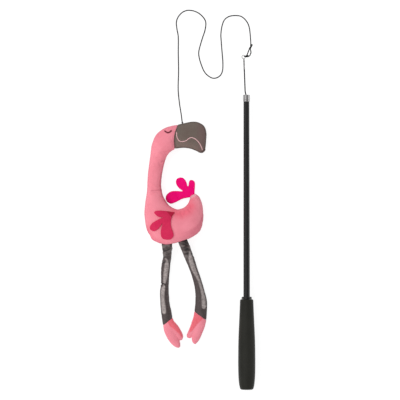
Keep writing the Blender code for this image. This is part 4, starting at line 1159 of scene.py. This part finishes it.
def nearest(points, line):
    """Distance of each point from a line of points, and on which side of the line it lies."""
    best = np.full(len(points), 1e9)
    side = np.zeros(len(points))
    for a, b in zip(line[:-1], line[1:]):
        d = b - a
        t = np.clip(((points - a) @ d) / (d @ d), 0, 1)
        off = points - a - t[:, None] * d
        reach = np.hypot(off[:, 0], off[:, 1])
        closer = reach < best
        best[closer] = reach[closer]
        side[closer] = (d[0] * off[:, 1] - d[1] * off[:, 0])[closer]
    return best, np.sign(side)


def reach_of(points, line):
    return nearest(points, line)[0]


def bell(distance, width):
    return np.exp(-(distance / width) ** 2)


def step_up(value, start, end):
    t = np.clip((value - start) / (end - start), 0, 1)
    return t * t * (3 - 2 * t)


def lumps(points, size, seed=0.0, stretch=(1, 1, 1)):
    """Smooth noise from -1 to 1, one hill to each size in metres."""
    scale = np.array(stretch) / size
    start = Vector((seed, 2 * seed, 3 * seed))
    return np.array([noise.noise(Vector(point * scale) + start) for point in points])


def hilly(points, hills):
    return sum(high * lumps(points, size, seed) for high, size, seed in hills)


def waver(x, y, pitch, seed):
    return noise.noise(Vector((x * pitch, y * pitch, seed)))


def fine_line(points, steps=8):
    return np.array(smooth_through(on_toy(points), steps))


def make_skin(name, rows, look, ends, bow, far_end, slack, most):
    """A stuffed form, filled out by the cloth run and made finer; its mesh, points and normals."""
    skin = stuffed(name, rows, 48, LOOKS[look], ends, bow)
    edge, along = get_values(skin.data, "edge"), get_values(skin.data, "along")
    at_ends = np.maximum(bell(along, 0.003), bell(along.max() - along, far_end))
    fill_out(skin, np.maximum(step_up(edge, 0.93, 0.995), at_ends), slack, most)
    subdivide(skin)
    return skin, skin.data, get_points(skin.data), get_normals(skin.data)


def seam_rims(mesh, points, rows, width, near):
    """1 along the seams: for the form, and for the colour with the outline too, as painted shade where the
    form turns away from the light.
    """
    drawn = bell(1 - get_values(mesh, "edge"), width) * step_up(points[:, 2], 0.0008, 0.003)
    dark = np.maximum(drawn, bell(reach_of(points[:, :2], outline_of(rows)), near))
    return drawn, dark * step_up(points[:, 2], 0.0, 0.002)


def dents(creases, flat, share, ridge, spread):
    """How far creases draw the fabric in, with a ridge beside each; each point's distance from them."""
    drawn, marked = np.zeros(len(flat)), []
    for line, depth, width in creases:
        reach = reach_of(flat, fine_line(line))
        drawn += depth * bell(reach, width) * share
        drawn -= ridge * depth * bell(reach - 2.2 * width, spread * width) * share
        marked.append((reach, depth, width))
    return drawn, marked


def gather(push, flat, top):
    """Draws the skin in at the small puckers in the hollow of the C; how strong their painted shade is at
    each point.
    """
    centre = on_toy([PUCKERS_FROM])[0]
    pucker = np.zeros(len(flat))
    for k, (at, (tall, deep)) in enumerate(zip(on_toy(PUCKERS), PUCKER_SIZES)):
        out = (at - centre) / np.linalg.norm(at - centre)
        twist = np.array((-out[1], out[0])) * (PUCKER_TWIST * (-1) ** k)
        line = [at - out * PUCKER_START, at, at + out * tall * 0.5 + twist, at + out * tall + 2 * twist]
        reach = reach_of(flat, np.array(smooth_through(line, 6)))
        share = deep * step_up(np.linalg.norm(flat - at, axis=1), PUCKER_REACH, 0.001) * top
        ridge = PUCKER_RIDGE * bell(reach - 2 * PUCKER_WIDTH, 0.0012)
        push -= (PUCKER_DEPTH * bell(reach, PUCKER_WIDTH) - ridge) * share
        # painted shade along the pucker lines
        pucker = np.maximum(pucker, bell(reach, 0.0010) * share)
    return pucker


def fold_under(push, flat, top):
    """Draws the skin in at the belly's fold and beyond it; how much each point is beyond it, as a darker
    tone that is partly painted shade and grows to the east, and how much it is in the fold, as painted
    shade.
    """
    reach, side = nearest(flat, fine_line(FOLD))
    beyond = np.where(side > 0, reach, -reach)
    left_end, right_end = on_toy([FOLD[-1], FOLD[0]])
    share = step_up(np.linalg.norm(flat - left_end, axis=1), 0.002, 0.018)
    share = share * step_up(np.linalg.norm(flat - right_end, axis=1), 0.0, 0.003)
    share = share * ((flat[:, 0] > TOY.x + FOLD_CORNER[0]) & (flat[:, 1] < TOY.y + FOLD_CORNER[1]))
    # more painted shade towards the east, the side away from the lamp
    eastward = 0.4 + 0.6 * step_up(flat[:, 0], TOY.x, TOY.x + 0.018)
    drop = FOLD_DROP * step_up(beyond, 0.0, 0.0050)
    push -= (drop + FOLD_DEPTH * bell(reach, FOLD_WIDTH)) * share * top
    return step_up(beyond, -0.0002, 0.0004) * share * eastward, 0.50 * bell(reach, 0.0006) * share * top


def make_torso():
    """One sewn skin from the head's seam with the beak to the tail, filled, with its creases."""
    rows = stations(TORSO, 6)
    skin, mesh, points, normals = make_skin(
        "toy_skin", rows, "plush", (0.0008, 0.0004), bow=SEAM_BOW, far_end=0.004, slack=0.02, most=0.0018
    )
    flat = points[:, :2]
    top = step_up(normals[:, 2], 0.0, 0.35)
    push = hilly(points, TORSO_HILLS) * step_up(points[:, 2], 0.0005, 0.004)

    drawn, marked = dents(TOY_CREASES, flat, top, 0.4, 1.2)
    push -= drawn
    # painted shade in the creases, darker where they draw the plush in
    crease = np.zeros(len(points))
    for reach, depth, width in marked:
        crease = np.maximum(crease, min(1, depth / 0.0005) * bell(reach, width * 1.1) * top)
    # painted shade where the legs go in under the body
    for line in LEG_ROOTS:
        reach = reach_of(flat, on_toy(line))
        reach = np.hypot(reach, np.maximum(0, np.abs(points[:, 2] - LEG_ROOT_HEIGHT) - LEG_ROOT_HALF))
        push -= LEG_ROOT_DEPTH * bell(reach, LEG_ROOT_WIDTH)
        crease = np.maximum(crease, bell(reach, 0.0010))

    pucker = gather(push, flat, top)
    # painted shade along the lower left edge of the body
    low_edge = bell(reach_of(flat, fine_line(LOW_SHADE)), LOW_SHADE_WIDTH)
    # redder around the puckers and near the tail tip, and along the lower left edge a redder painted shade
    blush = bell(reach_of(flat, on_toy(PUCKERS)), PUCKERS_BLUSH_WIDTH) * top
    blush = np.maximum(blush, 0.45 * bell(reach_of(flat, on_toy(TIP_BLUSH)), TIP_BLUSH_WIDTH) * top)
    blush = np.maximum(blush, 0.45 * low_edge)

    gusset, fold = fold_under(push, flat, top)
    # the darker tone beyond the fold is partly the gusset's own tone and partly painted shade, with painted
    # shade along the lower left edge
    gusset = np.maximum(gusset, 0.35 * low_edge)
    crease = np.maximum(crease, fold)

    # painted shade along the seams and the outline
    seam, rim = seam_rims(mesh, points, rows, 0.010, 0.0009)
    push -= SKIN_SEAM_DEPTH * seam
    shade = bell(reach_of(flat, fine_line(NECK_SHADE)), NECK_SHADE_WIDTH) * step_up(normals[:, 2], 0.0, 0.2)
    ruffle = reach_of(flat, on_toy(TIP_RUFFLE))
    x, y = flat[:, 0], flat[:, 1]
    waves = np.sin((x + y) * 2900 + 0.8) + 0.7 * np.sin((x * 1.6 + y) * 4300 + 1)
    push += RUFFLE_DEPTH * waves * bell(ruffle, RUFFLE_WIDTH)

    push_out(mesh, points, normals, push)
    set_values(
        mesh, crease=crease, pucker=pucker, blush=blush, gusset=gusset, tip=bell(ruffle, 0.0017), rim=rim,
        shade=shade,
    )
    settle(skin, "toy", "pink_plush", "toy_head", "toy_neck", "toy_breast", "toy_belly", "toy_rump")
    return skin


def make_beak():
    rows = stations(BEAK, 10)
    beak, mesh, points, normals = make_skin(
        "toy_beak", rows, "beak", (0.0008, 0.0016), bow=-SEAM_BOW, far_end=0.003, slack=0.015, most=0.0012
    )
    seam, rim = seam_rims(mesh, points, rows, 0.012, 0.0010)
    push = hilly(points, BEAK_HILLS) * step_up(points[:, 2], 0.0005, 0.004) - SEAM_DEPTH * seam
    points = push_out(mesh, points, normals, push)
    x, y = points[:, 0] - TOY.x, points[:, 1] - TOY.y
    # painted shade along the beak's outline and in its seam with the head
    set_values(
        mesh, rim=np.maximum(rim, 0.8 * bell(get_values(mesh, "along"), 0.0011)),
        pale=step_up(x * 0.45 + y, -0.014, -0.026), warm=step_up(x, 0.012, 0.024),
    )
    settle(beak, "toy", "beak_plush", "beak")
    return beak


def top_of(piece):
    """The height of the piece's top at a place on the floor."""
    tree = BVHTree.FromPolygons(
        [vertex.co for vertex in piece.data.vertices], [tuple(face.vertices) for face in piece.data.polygons]
    )

    def height(x, y):
        hit = tree.ray_cast(Vector((x, y, 1.0)), Vector((0, 0, -1)))[0]
        return hit.z if hit else 0.0
    return height


def make_face(skin, beak):
    """Closed eye and the line along the beak, both sewn in thread."""
    for name, line, radius, look, on, slot in (
        ("eye_stitches", EYE_ARC, 0.00085, "eye_thread", skin, "beak_plush"),
        ("beak_stitches", SMILE, 0.00047, "smile_thread", beak, "pink_plush"),
    ):
        height = top_of(on)
        points = [(x, y, height(x, y) + radius * 0.25) for x, y in evenly(fine_line(line, 10), 0.0004)]
        settle(twisted(name, points, radius, LOOKS[look]), "toy", slot)


def inside(point, outline):
    x, y = point
    odd = False
    for (ax, ay), (bx, by) in zip(outline, np.roll(outline, -1, axis=0)):
        if (ay > y) != (by > y) and x < ax + (y - ay) * (bx - ax) / (by - ay):
            odd = not odd
    return odd


def felt(name, table, height_at, root, material):
    """Felt cut to an outline, with a soft cut edge; also its flat size and area."""
    edge = fine_line(table, 6)
    edge = evenly(np.vstack((edge, edge[:1])), FELT_SPACING * 0.7)[:-1]
    low, high = edge.min(axis=0), edge.max(axis=0)
    fill = []
    for i in range(int((high[0] - low[0]) / FELT_SPACING) + 1):
        for j in range(int((high[1] - low[1]) / FELT_ROW) + 1):
            point = np.array((low[0] + (i + 0.5 * (j % 2)) * FELT_SPACING, low[1] + j * FELT_ROW))
            if np.linalg.norm(edge - point, axis=1).min() > FELT_SPACING * 0.6 and inside(point, edge):
                fill.append(point)
    count = len(edge)
    lines = [(i, (i + 1) % count) for i in range(count)]
    flat, _, faces, *_ = delaunay_2d_cdt([Vector(p) for p in list(edge) + fill], lines, [], 1, 1e-7)
    flat = np.array([tuple(point) for point in flat])
    step = np.roll(edge, -1, axis=0) - np.roll(edge, 1, axis=0)
    inward = np.column_stack((-step[:, 1], step[:, 0])) / np.linalg.norm(step, axis=1)[:, None]
    if not inside(edge[0] + inward[0] * FELT_ROUNDING, edge):
        inward = -inward
    drawn = flat.copy()
    drawn[:count] += inward * FELT_ROUNDING
    base = np.array([height_at(x, y) for x, y in drawn])
    loose = np.array([0.00006 * waver(x, y, 900, 0.5) + 0.00012 * waver(x, y, 160, 4.5) for x, y in drawn])
    middle = np.array([height_at(x, y) for x, y in edge]) + FELT_THICKNESS / 2
    ragged = 0.00006 * np.array([waver(x, y, 2500, 8.5) for x, y in edge])
    points = np.vstack((
        np.column_stack((drawn, base)), np.column_stack((drawn, base + FELT_THICKNESS + loose)),
        np.column_stack((edge + inward * ragged[:, None], middle)),
    ))
    total = len(flat)
    made = [tuple(face[::-1]) for face in faces] + [tuple(k + total for k in face) for face in faces]
    under, over, rim = (range(at, at + count) for at in (0, total, 2 * total))
    for i, j in lines:
        made += [(under[i], under[j], rim[j], rim[i]), (rim[i], rim[j], over[j], over[i])]
    # painted shade in the fold at the felt's sewn root
    reach, side = nearest(points[:, :2], on_toy(root))
    near_root = step_up(np.where(side < 0, reach, -reach), -0.0006, 0.0006)
    piece = add_mesh(name, points, made, material, values={"root": near_root})
    area = 0.0
    for face in faces:
        a, b, c = (Vector((*flat[k], base[k])) for k in face[:3])
        area += (b - a).cross(c - a).length / 2
    return piece, tuple(high - low), area


def make_felt(skin):
    """Wing, laid on the body, and tail feathers, which slope from the seam to the floor."""
    height = top_of(skin)
    start = on_toy(WING[:1])[0]
    rest = {}

    def on_skin(x, y):
        """The felt bridges small hollows, and its lobes stand a little off the plush."""
        key = (round(x, 7), round(y, 7))
        if key not in rest:
            near_by = [height(x + dx, y + dy) for dx in (-0.0015, 0, 0.0015) for dy in (-0.0015, 0, 0.0015)]
            away = float(np.hypot(x - start[0], y - start[1]))
            loft = 0.0002 + 0.00035 * min(1.0, away / 0.02) + 0.00025 * waver(x, y, 110, 2.0)
            rest[key] = max(height(x, y) + 0.0001, sum(near_by) / 9 + loft)
        return rest[key]

    first, last = on_toy([TAIL[1], TAIL[-2]])
    way = (first - last) / np.linalg.norm(first - last)
    away = np.array((-way[1], way[0]))

    def sloped(x, y):
        reach = max(0.0, float((np.array((x, y)) - last) @ away)) / TAIL_REACH
        wave = 0.0005 * waver(x, y, 95, 6.0) * min(1.0, reach * 3)
        return max(0.00005, TAIL_ROOT_HEIGHT + (TAIL_TIP_HEIGHT - TAIL_ROOT_HEIGHT) * reach + wave)

    for name, table, height_at, root, look, body, node in (
        ("wing_felt", WING, on_skin, WING_FOLD, "raspberry", "wing_flap", "wing"),
        ("tail_felt", TAIL, sloped, TAIL_FOLD, "magenta", "tail_flap", "tail_feathers"),
    ):
        piece, size, area = felt(name, table, height_at, root, LOOKS[look])
        settle(piece, body, look + "_felt", node)


def make_leg(side, table, bands, creases):
    """A flat satin tube, crinkled across, with its painted highlight band and the painted shade of its
    creases.
    """
    rows = stations(table, 14)
    leg = stuffed(f"leg_{side}_satin", rows, 40, LOOKS["satin"], (0.0006, 0.0006), groove=0.10)
    subdivide(leg)
    mesh = leg.data
    points, normals = get_points(mesh), get_normals(mesh)
    flat = points[:, :2]
    along = get_values(mesh, "along")
    off_floor = step_up(points[:, 2], 0.0002, 0.0015)
    upper = step_up(normals[:, 2], 0.0, 0.25)
    across = lumps(points, 0.0050, 11.3, (0.8, 1.5, 1))
    ridged = 1 - 2 * np.abs(lumps(points, 0.0040, 4.9, (0.6, 1.3, 1)))
    hip = step_up(flat[:, 1] - TOY.y, -0.1650, -0.1540)
    push = 0.00032 * across + 0.00022 * ridged + 0.00007 * lumps(points, 0.0016, 2.2)
    push = push * off_floor * (0.45 + 0.85 * hip)
    push *= step_up(np.minimum(along, along.max() - along), 0.0, 0.003)
    push -= SEAM_DEPTH * bell(1 - get_values(mesh, "edge"), 0.015) * off_floor
    drawn, marked = dents(creases, flat, off_floor, 0.5, 1.3)
    push -= drawn
    # painted shade in the leg's creases
    dark = np.max([bell(reach, 0.9 * width) for reach, _, width in marked], axis=0)
    # painted highlight: a lighter band down the top of the leg, where a reflection of the lamp would lie
    reach = np.full(len(points), 1e9)
    for band in bands:
        for x, y, half in smooth_through(band, 10):
            reach = np.minimum(reach, np.hypot(flat[:, 0] - TOY.x - x, flat[:, 1] - TOY.y - y) - half)
    light = step_up(reach + 0.0003 * lumps(points, 0.006, 9.1), 0.0009, -0.0009) * upper
    # the fold value drives painted shade in the dents and painted glints on the ridges
    set_values(
        mesh, hip=hip, fold=1.6 * across + 0.8 * (ridged - 0.35), crease=np.clip(dark, 0, 1) * upper,
        band=light * (0.86 + 0.14 * lumps(points, 0.009, 6.7)),
    )
    push_out(mesh, points, normals, push)
    settle(leg, side + "_leg", "leg_satin", "leg_" + side)


def make_foot(side, toes, patch):
    """Two toes grown together into one small stuffed foot, redder on one side."""
    name = f"foot_{side}_plush"
    parts = [
        stuffed(name + "_toe", stations(toe, 8), 32, LOOKS["foot"], (0.0003, 0.0009), groove=0.0)
        for toe in toes
    ]
    foot = add_mesh(name, *joined(parts), LOOKS["foot"])
    melt = foot.modifiers.new("Melt", "REMESH")
    melt.mode = "VOXEL"
    melt.voxel_size = FOOT_GRAIN
    even = foot.modifiers.new("Even", "SMOOTH")
    even.factor = 0.5
    even.iterations = 6
    apply_modifiers(foot)
    foot.data.materials.clear()
    foot.data.materials.append(LOOKS["foot"])
    mesh = foot.data
    points, normals = get_points(mesh), get_normals(mesh)
    outline = on_toy(patch)
    reach = reach_of(points[:, :2], np.vstack((outline, outline[:1])))
    within = np.array([inside(point, outline) for point in points[:, :2]])
    red = step_up(np.where(within, reach, -reach), -0.0004, 0.0008) * step_up(normals[:, 2], -0.1, 0.2)
    push = hilly(points, FOOT_HILLS)
    push -= 0.00018 * bell(reach, 0.0006) * step_up(normals[:, 2], 0.2, 0.6)
    push_out(mesh, points, normals, push * step_up(points[:, 2], 0.0002, 0.0015))
    set_values(mesh, patch=red)
    settle(foot, side + "_foot", "foot_plush", "foot_" + side)


PINK_SHEEN = (1.0, 0.72, 0.76)
LOOKS = {
    "grip": moulded_plastic("moulded_grip", (0.0205, 0.0205, 0.0170), 0.40, 0.50, 2600, 0.11),
    "collar": moulded_plastic("collar_ring", (0.0065, 0.0065, 0.0065), 0.24, 0.32, 3400, 0.45),
    "coat": coated_tube("black_coat", (0.0085, 0.0085, 0.0088)),
    "bright": worked_metal("polished_nickel", (0.63, 0.618, 0.622), 0.14, (0.05, 1, 0.05)),
    "dull": worked_metal("crimped_nickel", (0.62, 0.61, 0.61), 0.34, (0.3, 1, 0.3)),
    "steel": worked_metal("drawn_steel", (0.52, 0.52, 0.53), 0.24, (1, 0.02, 1)),
    "rod": worked_metal("dark_drawn_rod", (0.055, 0.055, 0.056), 0.40, (1, 0.02, 1)),
    "brass": worked_metal("spring_brass", (0.48, 0.31, 0.11), 0.30, (1, 0.05, 1)),
    "cord": braided_cord("braided_cord", (0.020, 0.020, 0.020)),
    # painted shade in the creases, the puckers, along the seams and outline and inside the neck; the darker
    # gusset tone and the redder lower edge are partly painted shade
    "plush": short_plush("pink_plush", (0.865, 0.262, 0.325), 0.18, PINK_SHEEN, (
        ("gusset", (0.60, 0.135, 0.190), 0.58), ("blush", (0.87, 0.140, 0.205), 0.9),
        ("pucker", (0.66, 0.12, 0.17), 0.35), ("crease", (0.55, 0.12, 0.17), 0.55),
        ("rim", (0.60, 0.13, 0.185), 0.30), ("shade", (0.49, 0.075, 0.130), 0.85),
        ("tip", (0.93, 0.62, 0.66), 0.9),
    )),
    # the beak's rim is painted shade along its outline and its seam with the head
    "beak": short_plush("beak_plush", (0.152, 0.121, 0.102), 0.12, (0.8, 0.72, 0.68), (
        ("pale", (0.225, 0.165, 0.142), 0.8), ("warm", (0.180, 0.110, 0.108), 0.7),
        ("rim", (0.05, 0.035, 0.03), 0.8),
    )),
    "raspberry": wool_felt(
        "raspberry_felt", (0.63, 0.021, 0.090), (0.50, 0.015, 0.066), (0.40, 0.008, 0.036)
    ),
    "magenta": wool_felt(
        "magenta_felt", (0.87, 0.0008, 0.175), (0.76, 0.0006, 0.150), (0.76, 0.0006, 0.150)
    ),
    "satin": crinkled_satin("crinkled_satin", (0.062, 0.044, 0.043), (0.43, 0.375, 0.36)),
    "foot": short_plush("foot_plush", (0.86, 0.265, 0.325), 0.18, PINK_SHEEN, (
        ("patch", (0.80, 0.125, 0.155), 0.9),
    )),
    "eye_thread": embroidery("maroon_thread", (0.190, 0.022, 0.040)),
    "dark_thread": embroidery("dark_thread", (0.030, 0.024, 0.021)),
    "smile_thread": embroidery("pale_pink_thread", (0.86, 0.52, 0.53)),
}

SCENE.view_settings.view_transform = "Standard"
make_camera()
make_floor()
make_sky()
make_lamp()
make_cord()
make_tip(*make_handle())
dress_inside()
SKIN = make_torso()
make_face(SKIN, make_beak())
make_felt(SKIN)
make_leg("left", LEG_LEFT, (LEFT_BAND, LEFT_GLINT), LEFT_CREASES)
make_leg("right", LEG_RIGHT, (RIGHT_BAND,), RIGHT_CREASES)
make_foot("left", (FOOT_LEFT_LONG_TOE, FOOT_LEFT_SHORT_TOE), LEFT_PATCH)
make_foot("right", (FOOT_RIGHT_LONG_TOE, FOOT_RIGHT_SHORT_TOE), RIGHT_PATCH)
